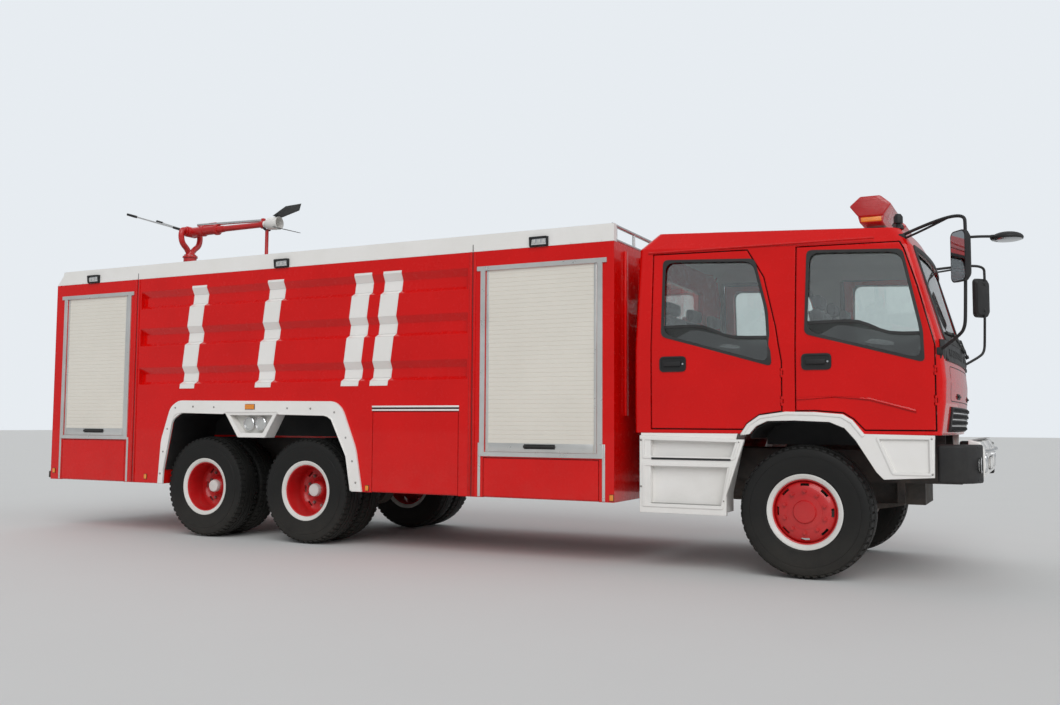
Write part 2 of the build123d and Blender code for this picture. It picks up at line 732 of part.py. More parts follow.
with BuildPart() as dashboard:
    with BuildSketch(side_plane(1000)):
        with BuildLine():
            Polyline((ahead(dash_rear + 60), cab_floor_z + seat_gap), (ahead(dash_rear + 60), 1560),
                     (ahead(dash_rear), 1600), (ahead(dash_rear + 30), dash_top_z - 60),
                     (ahead(dash_rear + 130), dash_top_z), (ahead(dash_front), dash_top_z - 20),
                     (ahead(dash_front), cab_floor_z + seat_gap), close=True)
        make_face()
    extrude(amount=2000)
    wheel_plane = Plane((ahead(dash_rear - 120), steering_wheel_y, 1930), z_dir=(-0.5, 0, 0.866))
    with BuildSketch(wheel_plane):
        Circle(wheel_rim_radius)
        Circle(wheel_rim_radius - 28, mode=Mode.SUBTRACT)
        Rectangle(2 * wheel_rim_radius - 20, 40)
        Circle(55)
    extrude(amount=26)
    with BuildSketch(wheel_plane):
        Circle(32)
    extrude(amount=-260)

# Seats: two in front and a bench behind

seat_cushion_z = 1700
seat_back_top_z = 2330
# x of the cushion's rear from the front axle, width centre, width
seat_table = ((70, 620, 520), (70, -620, 520), (70, 0, 520), (-1240, 0, 2000))

with BuildPart() as seats:
    for rear, y, width in seat_table:
        with BuildSketch(side_plane(y + width / 2)):
            with BuildLine():
                Polyline((ahead(rear + 30), cab_floor_z + seat_gap), (ahead(rear + 480), cab_floor_z + seat_gap),
                         (ahead(rear + 500), seat_cushion_z), (ahead(rear + 120), seat_cushion_z - 30),
                         (ahead(rear + 10), seat_back_top_z), (ahead(rear - 100), seat_back_top_z - 10),
                         (ahead(rear), seat_cushion_z - 120), close=True)
            make_face()
        extrude(amount=width)

# Grille panel on the cab's face

grille_half_width = 760
grille_z = (1210, 1540)
grille_bars = 5
grille_proud = 25

with BuildPart() as cab_grille:
    add(cab_block(-grille_proud, cab_bottom_z))
    add(slab(ahead(900), ahead(1300), -grille_half_width, grille_half_width, *grille_z), mode=Mode.INTERSECT)
    add(cab_clear, mode=Mode.SUBTRACT)
    for bar in range(grille_bars):
        z = grille_z[0] + (bar + 0.5) * (grille_z[1] - grille_z[0]) / grille_bars
        slot = slab(ahead(900), ahead(1300), -grille_half_width + 50, grille_half_width - 50, z - 20, z + 20)
        add(slot, mode=Mode.SUBTRACT)

# Bumper across the front, on two brackets from the frame

bumper_foot_z = 767
bumper_top_z = 1125
bumper_front = 1320
bumper_rear_side = 996
bumper_half_width = 1180

with BuildPart() as bumper:
    with BuildSketch(Plane.XY.offset(bumper_foot_z)):
        with BuildLine():
            Polyline((ahead(bumper_rear_side), -bumper_half_width), (ahead(1180), -bumper_half_width),
                     (ahead(bumper_front), -900), (ahead(bumper_front), 900), (ahead(1180), bumper_half_width),
                     (ahead(bumper_rear_side), bumper_half_width), (ahead(bumper_rear_side), bumper_half_width - 70),
                     (ahead(1120), bumper_half_width - 70), (ahead(1200), 860), (ahead(1200), -860),
                     (ahead(1120), -bumper_half_width + 70), (ahead(bumper_rear_side), -bumper_half_width + 70),
                     close=True)
        make_face()
    extrude(amount=bumper_top_z - bumper_foot_z)
    for _, side in sides:
        bracket_x = (ahead(frame_front_from_axle + seat_gap), ahead(1201))
        add(slab(*bracket_x, side * (rail_y - 90), side * rail_y, rail_top_z - 200, rail_top_z - 20))

# White wheel flares, lower panels and steps below the cab

flare_outer = ((-497, 1153), (-442, 1234), (-342, 1304), (-130, 1335), (99, 1332), (317, 1314), (391, 1269),
               (476, 1161), (989, 1153), (983, 835), (623, 813))
flare_under = ((614, 816), (563, 869), (411, 1113), (329, 1206), (215, 1253), (-59, 1264), (-277, 1259),
               (-367, 1218), (-426, 1152), (-497, 1140))
step_outline = ((-1374, 1134), (-466, 1106), (-617, 653), (-620, 480), (-1375, 480))
step_box_outline = ((-1374, cab_bottom_z - seat_gap), (-530, cab_bottom_z - seat_gap), (-640, 653), (-640, 500),
                    (-1374, 500))
step_box_inner_y = 940
flare_inner_y = cab_half_width + seat_gap
flare_outer_y = cab_half_width + 32

with BuildPart() as cab_skirts:
    for _, side in sides:
        add(side_prism([(ahead(x), z) for x, z in flare_outer + flare_under], side * flare_inner_y,
                       side * flare_outer_y))
        add(side_prism([(ahead(x), z) for x, z in step_outline], side * (cab_half_width - 1),
                       side * flare_outer_y))
        add(side_prism([(ahead(x), z) for x, z in step_box_outline], side * step_box_inner_y,
                       side * cab_half_width))

# Light bar on the roof

light_bar_foot_y = 520
light_bar_foot_z = 2905


def roof_z(from_axle):
    # Height of the roof's crown, which falls towards the front.
    return cab_sections[-1][0] - from_axle * math.tan(math.radians(roof_fall_deg))


with BuildPart() as light_bar:
    for _, side in sides:
        foot = [(ahead(x), roof_z(x) + seat_gap) for x in (430, 580)]
        foot += [(ahead(580), light_bar_foot_z + 5), (ahead(430), light_bar_foot_z + 5)]
        add(side_prism(foot, side * light_bar_foot_y, side * (light_bar_foot_y + 80)))
    with BuildSketch(side_plane(780)):
        with BuildLine():
            Polyline((ahead(360), light_bar_foot_z), (ahead(317), 3070), (ahead(401), 3130), (ahead(565), 3130),
                     (ahead(644), 3000), (ahead(660), light_bar_foot_z), close=True)
        make_face()
    extrude(amount=1560)

# Mirrors on arms from the cab's front corners, and a front-view mirror on the right arm

mirror_y = 1370
mirror_size = (64, 180, 385)
mirror_centre_z = 2482
mirror_from_axle = 1215
arm_radius = 13
arm_top = (1238, 1370, 2800)
arm_low = (1228, 1370, 1960)
arm_root_top = (745, 1005, 2730)
arm_root_low = (1025, 1165, 1790)
front_mirror_centre = (1520, 1250, 2620)
front_mirror_radius = 112
front_mirror_depth = 70


def at_side(point, side):
    x, y, z = point
    return (ahead(x), side * y, z)


with BuildPart() as mirrors:
    for _, side in sides:
        corners = [at_side(point, side) for point in (arm_root_top, arm_top, arm_low, arm_root_low)]
        for start, end in zip(corners, corners[1:]):
            add(rod(start, end, arm_radius))
            with Locations(end):
                Sphere(arm_radius)
        with Locations((ahead(mirror_from_axle), side * mirror_y, mirror_centre_z)):
            Box(*mirror_size)
    x, y, z = at_side(front_mirror_centre, -1)
    add(rod((ahead(arm_top[0]), -arm_top[1], z), (x, y, z), arm_radius))
    with Locations((x, y, z)):
        Cylinder(front_mirror_radius, front_mirror_depth)
    add(cab_clear, mode=Mode.SUBTRACT)

# Monitor turret, barrel and rest post

monitor_from_axle = -7900
turret_bore_z = 3300
barrel_z = 3632
barrel_front = -6130
rod_rear = -8775

with BuildPart() as monitor_base:
    with Locations((ahead(monitor_from_axle), 0, body_top_z + seat_gap)):
        Cylinder(150, 24, align=(Align.CENTER, Align.CENTER, Align.MIN))
        Cylinder(58, turret_bore_z - body_top_z - seat_gap, align=(Align.CENTER, Align.CENTER, Align.MIN))

rest_post_from_axle = -6650
barrel_radius = 38

with BuildPart() as monitor_rest:
    with Locations((ahead(rest_post_from_axle), 0, body_top_z + seat_gap)):
        Cylinder(70, 16, align=(Align.CENTER, Align.CENTER, Align.MIN))
        Cylinder(22, barrel_z - barrel_radius - swing_gap - body_top_z - seat_gap - 30,
                 align=(Align.CENTER, Align.CENTER, Align.MIN))
    with Locations((ahead(rest_post_from_axle), 0, barrel_z - barrel_radius - swing_gap - 15)):
        Box(60, 130, 30)

trunnion_pin_radius = 24
fork_thickness = 30
fork_inner_y = 82
fork_foot_z = turret_bore_z + 40

with BuildPart() as monitor_turret:
    with Locations((ahead(monitor_from_axle), 0, turret_bore_z + seat_gap)):
        Cylinder(75, fork_foot_z - turret_bore_z, align=(Align.CENTER, Align.CENTER, Align.MIN))
    with Locations((ahead(monitor_from_axle), 0, fork_foot_z + 20)):
        Box(90, 2 * (fork_inner_y + fork_thickness), 40)
    for _, side in sides:
        add(slab(ahead(monitor_from_axle - 45), ahead(monitor_from_axle + 45), side * fork_inner_y,
                 side * (fork_inner_y + fork_thickness), fork_foot_z, barrel_z))
        with Locations((ahead(monitor_from_axle), side * (fork_inner_y + fork_thickness / 2), barrel_z)):
            Cylinder(45, fork_thickness, rotation=(90, 0, 0))
    with Locations((ahead(monitor_from_axle), 0, barrel_z)):
        Cylinder(trunnion_pin_radius + running_fit, 2 * (fork_inner_y + fork_thickness), rotation=(90, 0, 0),
                 mode=Mode.SUBTRACT)

with BuildPart() as monitor_barrel:
    with Locations((ahead(monitor_from_axle), 0, barrel_z)):
        Cylinder(70, 2 * (fork_inner_y - seat_gap), rotation=(90, 0, 0))
        Cylinder(trunnion_pin_radius, 2 * (fork_inner_y + fork_thickness), rotation=(90, 0, 0))
    with Locations((ahead((monitor_from_axle + barrel_front) / 2), 0, barrel_z)):
        Cylinder(barrel_radius, barrel_front - monitor_from_axle, rotation=(0, 90, 0))
    for _, side in sides:
        add(rod((ahead(monitor_from_axle), side * 45, barrel_z), (ahead(rod_rear), side * 250, 3900), 12))

# Knuckles and wheels

stub_radius = 40
knuckle_plate = 34
knuckle_width = 110
front_stub_end = 60

knuckles = {}
for side_name, side in sides:
    with BuildPart() as knuckle:
        plate_reach = eye_height / 2 + knuckle_plate
        with Locations((ahead(0), side * kingpin_y, axle_z)):
            Cylinder(kingpin_radius, eye_height + 2 * knuckle_plate)
        for up in (-1, 1):
            add(slab(ahead(-knuckle_width / 2), ahead(knuckle_width / 2), side * (kingpin_y - 40),
                     side * (kingpin_y + 85), axle_z + up * (eye_height / 2 + running_fit), axle_z + up * plate_reach))
        add(slab(ahead(-knuckle_width / 2), ahead(knuckle_width / 2), side * (kingpin_y + 65),
                 side * (kingpin_y + 100), axle_z - plate_reach, axle_z + plate_reach))
        stub_start = kingpin_y + 99
        stub_end = front_wheel_y + front_stub_end
        with Locations((ahead(0), side * (stub_start + stub_end) / 2, axle_z)):
            Cylinder(stub_radius, stub_end - stub_start, rotation=(90, 0, 0))
    knuckles[f"knuckle_{side_name}"] = knuckle

# A wheel's section is drawn across its width (outwards is positive) and its radius.

rim_radius = rim_lip_diameter / 2
bead_radius = 262
bead_half = 90
lip_half = 131
lip_rise = rim_radius + 2 - bead_radius
rim_wall = 11


def tyre_ring(x, y):
    # One tyre: crown, shoulders, side walls and beads.
    half = tyre_width / 2
    radius = tyre_diameter / 2
    with BuildPart(mode=Mode.PRIVATE) as ring:
        with BuildSketch(Plane.XY):
            with BuildLine():
                Polyline((-bead_half, bead_radius), (-lip_half, bead_radius + lip_rise), (-half, radius - 130),
                         (-half + 6, radius - 50), (-half + 30, radius - 10), (0, radius), (half - 30, radius - 10),
                         (half - 6, radius - 50), (half, radius - 130), (lip_half, bead_radius + lip_rise),
                         (bead_half, bead_radius), close=True)
            make_face()
        revolve(axis=Axis.X)
    return Pos(x, y, axle_z) * Rot(0, 0, 90) * ring.part


def rim_barrel(centre):
    # Section of a rim from flange to flange, just inside its tyre.
    seat = bead_radius - seat_gap
    lip = bead_radius + lip_rise - 2 * seat_gap
    return [(centre - lip_half - 5, lip), (centre - lip_half, lip), (centre - bead_half, seat),
            (centre + bead_half, seat), (centre + lip_half, lip), (centre + lip_half + 5, lip),
            (centre + lip_half + 5, lip - rim_wall), (centre + bead_half + 5, seat - rim_wall),
            (centre - bead_half - 5, seat - rim_wall), (centre - lip_half - 5, lip - rim_wall)]


def wheel_piece(x, y, side, profiles):
    # Rims, discs and hub turned about the axle from their sections.
    with BuildPart() as piece:
        with BuildSketch(Plane.XY):
            for profile in profiles:
                with BuildLine():
                    Polyline(*profile, close=True)
                make_face()
        revolve(axis=Axis.X)
    turned = Pos(x, y, axle_z) * Rot(0, 0, 90 * side) * piece.part
    with BuildPart() as placed:
        add(turned)
    return placed


front_bore = stub_radius + running_fit
front_disc = [(60, bead_radius - 5), (100, 238), (120, 190), (114, 140), (100, 140), (104, 190), (88, 228),
              (46, bead_radius - 5)]
front_hub = [(-62, front_bore), (-62, 95), (0, 110), (80, 120), (115, 150), (115, 80), (140, 70), (140, 0),
             (front_stub_end + 6, 0), (front_stub_end + 6, front_bore)]
twin_outer_centre = twin_outer_y - tyre_width / 2
twin_inner_centre = twin_outer_centre - tyre_width - twin_gap
mate = -(tyre_width + twin_gap) / 2
rear_bore = spindle_radius + running_fit
rear_disc_outer = [(-84, bead_radius - 5), (mate + 30, 236), (mate + 12, 195), (mate + 12, 140), (mate, 140),
                   (mate, 195), (mate + 16, 236), (-98, bead_radius - 5)]
rear_disc_inner = [(2 * mate - across, radius) for across, radius in rear_disc_outer]
hub_cap_face = 10
rear_hub = [(-300, rear_bore), (-300, 120), (mate - 12, 150), (mate + 12, 150), (mate + 40, 105), (-60, 95),
            (-30, 60), (hub_cap_face, 60), (hub_cap_face, 0), (hub_cap_face - 14, 0), (hub_cap_face - 14, rear_bore)]

wheels = {}
for side_name, side in sides:
    wheels[f"rim_front_{side_name}"] = wheel_piece(ahead(0), side * front_wheel_y, side,
                                                   (rim_barrel(0), front_disc, front_hub))
    with BuildPart() as tyre_piece:
        add(tyre_ring(ahead(0), side * front_wheel_y))
    wheels[f"tyre_front_{side_name}"] = tyre_piece
rear_sections = (rim_barrel(0), rim_barrel(2 * mate), rear_disc_outer, rear_disc_inner, rear_hub)
for row, place_x in (("middle", rear_axle_x[0]), ("rear", rear_axle_x[1])):
    for side_name, side in sides:
        wheels[f"rim_{row}_{side_name}"] = wheel_piece(place_x, side * twin_outer_centre, side, rear_sections)
        with BuildPart() as tyre_piece:
            add(tyre_ring(place_x, side * twin_outer_centre))
            add(tyre_ring(place_x, side * twin_inner_centre))
        wheels[f"tyre_{row}_{side_name}"] = tyre_piece

# Lamps: scene lamps on the parapet, amber side markers, tail lamps

with BuildPart() as lamps:
    for from_axle in (-8125, -5325, -2335):
        for _, side in sides:
            with Locations((ahead(from_axle), side * (half_body + 18), body_top_z + 45)):
                Box(190, 36 - 2 * seat_gap, 95)
    for from_axle, z in ((-7200, 620), (-8690, 650), (-4200, 590), (-1625, 590)):
        for _, side in sides:
            with Locations((ahead(from_axle), side * (half_body + 8), z)):
                Box(36, 16 - 2 * seat_gap, 55)
    for _, side in sides:
        with Locations((rear_face_x - 25, side * 1120, 700)):
            Box(50 - 2 * seat_gap, 200, 110)

pieces = {
    "chassis_frame": chassis_frame,
    "driveline": driveline,
    "front_axle": front_axle,
    "rear_axles": rear_axles,
    "chassis_tanks": chassis_tanks,
    "body_rear": body_rear,
    "body_tank": body_tank,
    "body_front": body_front,
    "roller_shutters": roller_shutters,
    "shutter_frames": shutter_frames,
    "arch_trims": arch_trims,
    "roof_fascia": roof_fascia,
    "roof_rail": roof_rail,
    "ladder": ladder,
    "cab_shell": cab_shell,
    "cab_glass": cab_glass,
    "dashboard": dashboard,
    "seats": seats,
    "cab_grille": cab_grille,
    "bumper": bumper,
    "cab_skirts": cab_skirts,
    "light_bar": light_bar,
    "mirrors": mirrors,
    "lamps": lamps,
    "monitor_base": monitor_base,
    "monitor_rest": monitor_rest,
    "monitor_turret": monitor_turret,
    "monitor_barrel": monitor_barrel,
    **flaps,
    **cab_doors,
    **door_glass,
    **knuckles,
    **wheels,
}
for name, piece in pieces.items():
    piece.part.label = name
    export_step(piece.part, f"parts/{name}.step")
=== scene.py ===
import math

import bmesh
import bpy
from mathutils import Matrix, Vector
from mathutils.bvhtree import BVHTree


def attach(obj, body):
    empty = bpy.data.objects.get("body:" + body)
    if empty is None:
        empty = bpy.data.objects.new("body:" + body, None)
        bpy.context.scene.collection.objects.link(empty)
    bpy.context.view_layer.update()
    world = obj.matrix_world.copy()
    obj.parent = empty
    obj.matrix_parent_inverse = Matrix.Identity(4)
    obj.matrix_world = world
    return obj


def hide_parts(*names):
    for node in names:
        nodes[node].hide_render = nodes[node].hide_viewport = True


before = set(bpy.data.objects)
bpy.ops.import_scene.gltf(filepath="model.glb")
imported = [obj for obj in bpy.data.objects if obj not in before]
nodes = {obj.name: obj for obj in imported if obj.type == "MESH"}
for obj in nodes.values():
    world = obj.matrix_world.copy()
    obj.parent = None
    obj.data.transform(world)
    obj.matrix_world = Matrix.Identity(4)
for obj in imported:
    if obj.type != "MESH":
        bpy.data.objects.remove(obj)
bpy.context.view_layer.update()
scene = bpy.context.scene
frontAxle = 3.635      # X of the front axle, metres
middleAxle = -4.99     # from the front axle, as all places are that at and addBox take
rearAxle = -6.36
wheelZ = 0.535
sides = (("right", -1), ("left", 1))
bodyFace = 1.2503      # just off the body's side wall
trimFace = 1.2722      # just off the arch trims
deckZ = 2.8366         # just off the body's roof

# Camera, fitted to the photo's view

cameraSettings = {"place": (5.36, -9.463, 1.224), "yaw": 26.802, "pitch": 4.029, "roll": 0.321,
    "lens": 34.492}


def ahead(distance):
    return frontAxle + distance


def at(x, y, z):
    # A place given from the front axle.
    return (frontAxle + x, y, z)


def makeCamera(s):
    yaw, pitch, roll = (math.radians(s[k]) for k in ("yaw", "pitch", "roll"))
    look = Vector((-math.sin(yaw) * math.cos(pitch), math.cos(yaw) * math.cos(pitch), math.sin(pitch)))
    level = Vector((math.cos(yaw), math.sin(yaw), 0))
    rise = level.cross(look)
    across = level * math.cos(roll) + rise * math.sin(roll)
    upward = rise * math.cos(roll) - level * math.sin(roll)
    data = bpy.data.cameras.new("camera")
    data.lens = s["lens"]
    data.sensor_width = 36
    data.clip_end = 400
    camera = bpy.data.objects.new("camera", data)
    turn = Matrix((across, upward, -look)).transposed().to_4x4()
    camera.matrix_world = Matrix.Translation(s["place"]) @ turn
    scene.collection.objects.link(camera)
    scene.camera = camera


makeCamera(cameraSettings)
print("camera placed")

# Soft studio light and a pale floor

studio = {"sky": 0.42, "shine": 0.1, "floor": (0.66, 0.66, 0.65), "backdrop": (0.8, 0.84, 0.88),
    "suns": ((4, -8, 7, 1.5, 50), (-6, 6, 8, 0.6, 80), (9, 1, 4, 0.5, 70))}
finishes = {}


def plug(tree, made, inputs):
    # Gives inputs a value, or links them to a socket or to a node's first output.
    for key, value in inputs.items():
        if isinstance(value, bpy.types.Node):
            value = value.outputs[0]
        if isinstance(value, bpy.types.NodeSocket):
            tree.links.new(value, made.inputs[key])
        else:
            made.inputs[key].default_value = value


def node(tree, kind, inputs=None, **settings):
    made = tree.nodes.new("ShaderNode" + kind)
    for key, value in settings.items():
        setattr(made, key, value)
    plug(tree, made, inputs or {})
    return made


def noise(tree, place, scale, detail, rough=0.5):
    return node(tree, "TexNoise", {"Vector": place, "Scale": scale, "Detail": detail, "Roughness": rough})


def spread(tree, source, low, high, start=0.0, end=1.0):
    # Turns values from low to high into values from start to end.
    return node(tree, "MapRange", {0: source, 1: low, 2: high, 3: start, 4: end})


def mix(tree, share, one, two, **settings):
    return node(tree, "MixRGB", {0: share, 1: one, 2: two}, **settings)


def combine(tree, operation, one, two, **settings):
    return node(tree, "Math", {0: one, 1: two}, operation=operation, **settings)


def bump(tree, strength, distance, height):
    return node(tree, "Bump", {"Strength": strength, "Distance": distance, "Height": height})


def startMaterial(name):
    material = bpy.data.materials.new(name)
    material.use_nodes = True
    finishes[name] = material
    tree = material.node_tree
    return tree, tree.nodes["Principled BSDF"], node(tree, "TexCoord").outputs["Object"]


def makeStudio(s):
    world = bpy.data.worlds.new("studio")
    scene.world = world
    world.use_nodes = True
    tree = world.node_tree
    path = node(tree, "LightPath")
    shine = combine(tree, "MULTIPLY", path.outputs["Is Glossy Ray"], s["shine"])
    seen = combine(tree, "MAXIMUM", path.outputs["Is Camera Ray"], shine)
    seen = combine(tree, "MAXIMUM", seen, path.outputs["Is Transmission Ray"])
    level = spread(tree, seen, 0.0, 1.0, s["sky"])
    plug(tree, tree.nodes["Background"], {"Color": (*s["backdrop"], 1), "Strength": level})
    for x, y, z, strength, softness in s["suns"]:  # softness in degrees
        data = bpy.data.lights.new("sun", "SUN")
        data.energy = strength
        data.angle = math.radians(softness)
        sun = bpy.data.objects.new("sun", data)
        sun.matrix_world = Vector((x, y, z)).to_track_quat("Z", "Y").to_matrix().to_4x4()
        scene.collection.objects.link(sun)
    bm = bmesh.new()
    bmesh.ops.create_grid(bm, x_segments=2, y_segments=2, size=120)
    mesh = bpy.data.meshes.new("floor")
    bm.to_mesh(mesh)
    bm.free()
    floor = bpy.data.objects.new("floor", mesh)
    scene.collection.objects.link(floor)
    tree, shader, place = startMaterial("paleFloor")
    tint = spread(tree, noise(tree, place, 0.9, 6), 0.0, 1.0, 0.97)
    colour = mix(tree, 1.0, (*s["floor"], 1), tint, blend_type="MULTIPLY")
    plug(tree, shader, {"Base Color": colour, "Roughness": 0.85})
    mesh.materials.append(finishes["paleFloor"])


makeStudio(studio)
scene.view_settings.view_transform = "Standard"
print("studio lit")

# Surfaces. Each recipe is one finish of the truck; sizes of patterns are per metre.
# A ripple has a scale and a strength; dust has its low and high ends and its amount.

recipes = {"redPaint": {"colour": (0.7, 0.003, 0.002), "second": (0.64, 0.002, 0.001),
    "rough": (0.22, 0.3), "coat": 0.75, "coatRough": 0.03, "ripple": (3.0, 0.04),
    "dust": (0.45, 0.95, 0.06), "shine": 0.1, "edge": 0.016},
    "whitePaint": {"colour": (0.9, 0.88, 0.85), "second": (0.85, 0.83, 0.79), "rough": (0.28, 0.38),
    "coat": 0.8, "coatRough": 0.06, "ripple": (4.0, 0.04), "dust": (0.45, 1.0, 0.14), "edge": 0.008},
    "slatPaint": {"colour": (0.82, 0.78, 0.7), "second": (0.79, 0.75, 0.67), "rough": (0.38, 0.52),
    "metal": 0.1, "ripple": (8.0, 0.03), "dust": (0.9, 1.4, 0.08)},
    "paleMetal": {"colour": (0.74, 0.74, 0.72), "second": (0.62, 0.62, 0.6), "rough": (0.25, 0.42),
    "metal": 0.7, "ripple": (40.0, 0.04), "brushed": (1, 1, 60)},
    "brightTube": {"colour": (0.72, 0.72, 0.72), "second": (0.6, 0.6, 0.6), "rough": (0.15, 0.32),
    "metal": 1.0, "ripple": (30.0, 0.03)},
    "chrome": {"colour": (0.8, 0.8, 0.81), "second": (0.74, 0.74, 0.75), "rough": (0.05, 0.12),
    "metal": 1.0, "ripple": (10.0, 0.02)},
    "chassisPaint": {"colour": (0.022, 0.022, 0.024), "second": (0.045, 0.042, 0.038),
    "rough": (0.45, 0.75), "ripple": (25.0, 0.15), "dust": (0.2, 1.3, 0.55)},
    "castMetal": {"colour": (0.07, 0.07, 0.07), "second": (0.12, 0.105, 0.09), "rough": (0.5, 0.8),
    "metal": 0.5, "ripple": (60.0, 0.3), "dust": (0.2, 1.3, 0.5)},
    "blackPlastic": {"colour": (0.018, 0.018, 0.019), "second": (0.028, 0.028, 0.028),
    "rough": (0.42, 0.6), "ripple": (420.0, 0.12), "dust": (0.5, 1.3, 0.1), "shine": 0.3},
    "glossBlack": {"colour": (0.012, 0.012, 0.013), "second": (0.02, 0.02, 0.02), "rough": (0.12, 0.25),
    "coat": 0.6, "coatRough": 0.05, "ripple": (6.0, 0.03)},
    "rubberSeal": {"colour": (0.016, 0.016, 0.016), "second": (0.03, 0.03, 0.03), "rough": (0.5, 0.7),
    "ripple": (120.0, 0.1)},
    "trimGrey": {"colour": (0.085, 0.087, 0.09), "second": (0.065, 0.066, 0.07), "rough": (0.5, 0.65),
    "ripple": (350.0, 0.2)},
    "liningGrey": {"colour": (0.62, 0.61, 0.58), "second": (0.55, 0.54, 0.51), "rough": (0.7, 0.85),
    "ripple": (900.0, 0.08)},
    "wheelRed": {"colour": (0.6, 0.007, 0.009), "second": (0.48, 0.006, 0.008), "rough": (0.3, 0.5),
    "coat": 0.5, "coatRough": 0.12, "ripple": (18.0, 0.12), "dust": (0.2, 0.9, 0.1)},
    "wheelWhite": {"colour": (0.8, 0.79, 0.76), "second": (0.66, 0.64, 0.6), "rough": (0.35, 0.55),
    "coat": 0.4, "coatRough": 0.15, "ripple": (20.0, 0.1), "dust": (0.2, 0.9, 0.25)},
    "boltSteel": {"colour": (0.42, 0.41, 0.4), "second": (0.25, 0.22, 0.19), "rough": (0.3, 0.55),
    "metal": 0.9, "ripple": (90.0, 0.15)},
    "monitorRed": {"colour": (0.58, 0.008, 0.008), "second": (0.44, 0.007, 0.007), "rough": (0.25, 0.42),
    "coat": 0.5, "coatRough": 0.15, "ripple": (45.0, 0.25)},
    "mirrorFace": {"colour": (0.5, 0.52, 0.54), "second": (0.46, 0.48, 0.5), "rough": (0.02, 0.04),
    "metal": 1.0, "ripple": (2.0, 0.01)}}


def dustOver(tree, place, colour, rough, low, high, amount):
    # Dried road dust that thins out upwards.
    height = node(tree, "SeparateXYZ", {0: place}).outputs["Z"]
    fade = spread(tree, height, low, high, amount, 0.0)
    cover = combine(tree, "MULTIPLY", fade, spread(tree, noise(tree, place, 5.0, 8, 0.65), 0.35, 0.7))
    colour = mix(tree, cover, colour, (0.3, 0.26, 0.21, 1))
    return colour, combine(tree, "ADD", rough, cover, use_clamp=True)


def makeSurface(name, r):
    tree, shader, place = startMaterial(name)
    tone = spread(tree, noise(tree, place, 2.2, 5, 0.6), 0.35, 0.7)
    colour = mix(tree, tone, (*r["colour"], 1), (*r["second"], 1))
    rough = spread(tree, noise(tree, place, 14.0, 6, 0.7), 0.3, 0.7, *r["rough"])
    if "dust" in r:
        colour, rough = dustOver(tree, place, colour, rough, *r["dust"])
    scale, strength = r["ripple"]
    if "brushed" in r:
        place = node(tree, "Mapping", {"Vector": place, "Scale": r["brushed"]})
    ripple = bump(tree, strength, 0.004, noise(tree, place, scale, 4))
    if "edge" in r:
        plug(tree, ripple, {"Normal": node(tree, "Bevel", {"Radius": r["edge"]}, samples=4)})
    plug(tree, shader, {"Base Color": colour, "Roughness": rough, "Normal": ripple,
        "Metallic": r.get("metal", 0.0), "Coat Weight": r.get("coat", 0.0),
        "Coat Roughness": r.get("coatRough", 0.1), "Coat IOR": 1.42,
        "Specular IOR Level": r.get("shine", 0.5)})


def makeGlass(name, tint, rough, seeThrough=1.0, sheen=0.0):
    tree, shader, place = startMaterial(name)
    film = noise(tree, place, 3.0, 7)
    colour = mix(tree, film, (*tint, 1), (*[c * 0.9 for c in tint], 1))
    haze = spread(tree, film, 0.4, 0.8, rough, rough + 0.02)
    plug(tree, shader, {"Base Color": colour, "Roughness": haze, "Transmission Weight": seeThrough,
        "IOR": 1.45, "Coat Weight": sheen, "Coat IOR": 2.1})


def makeLens(name, tint, glow, rings):
    # Moulded lamp lens with fine ridges.
    tree, shader, place = startMaterial(name)
    ridges = node(tree, "TexWave", {"Vector": place, "Scale": rings, "Distortion": 0.2},
        bands_direction="DIAGONAL")
    cloud = noise(tree, place, 25.0, 4)
    colour = mix(tree, cloud, (*tint, 1), (*[c * 0.72 for c in tint], 1))
    plug(tree, shader, {"Base Color": colour, "Roughness": spread(tree, cloud, 0.0, 1.0, 0.08, 0.22),
        "Normal": bump(tree, 0.35, 0.003, ridges), "Transmission Weight": 0.25, "Coat Weight": 0.8,
        "Emission Color": (*tint, 1), "Emission Strength": glow})


def makeRubber(name):
    # Tyre rubber, dusty near the ground and finely grained.
    tree, shader, place = startMaterial(name)
    cloud = noise(tree, place, 7.0, 8, 0.7)
    colour = mix(tree, cloud, (0.007, 0.007, 0.007, 1), (0.016, 0.016, 0.015, 1))
    height = node(tree, "SeparateXYZ", {0: place}).outputs["Z"]
    cover = combine(tree, "MULTIPLY", spread(tree, height, 0.0, 0.5, 0.28, 0.02), cloud)
    colour = mix(tree, cover, colour, (0.16, 0.14, 0.115, 1))
    grain = bump(tree, 0.25, 0.001, noise(tree, place, 260.0, 3))
    plug(tree, shader, {"Base Color": colour, "Roughness": spread(tree, cloud, 0.3, 0.7, 0.42, 0.72),
        "Normal": grain, "Specular IOR Level": 0.25})


def waves(tree, place, scale, ways):
    return [node(tree, "TexWave", {"Vector": place, "Scale": scale}, bands_direction=way).outputs[1]
        for way in ways]


def makeCloth(name, colour, second):
    # Woven seat cloth with a fine crossed thread.
    tree, shader, place = startMaterial(name)
    warp, weft, rise = waves(tree, place, 160.0, "XYZ")
    weave = combine(tree, "ADD", combine(tree, "MULTIPLY", warp, weft), rise)
    cloud = noise(tree, place, 9.0, 6)
    mixed = mix(tree, cloud, (*colour, 1), (*second, 1))
    plug(tree, shader, {"Base Color": mixed, "Roughness": spread(tree, cloud, 0.0, 1.0, 0.78, 0.95),
        "Normal": bump(tree, 0.4, 0.0015, weave), "Sheen Weight": 0.25})


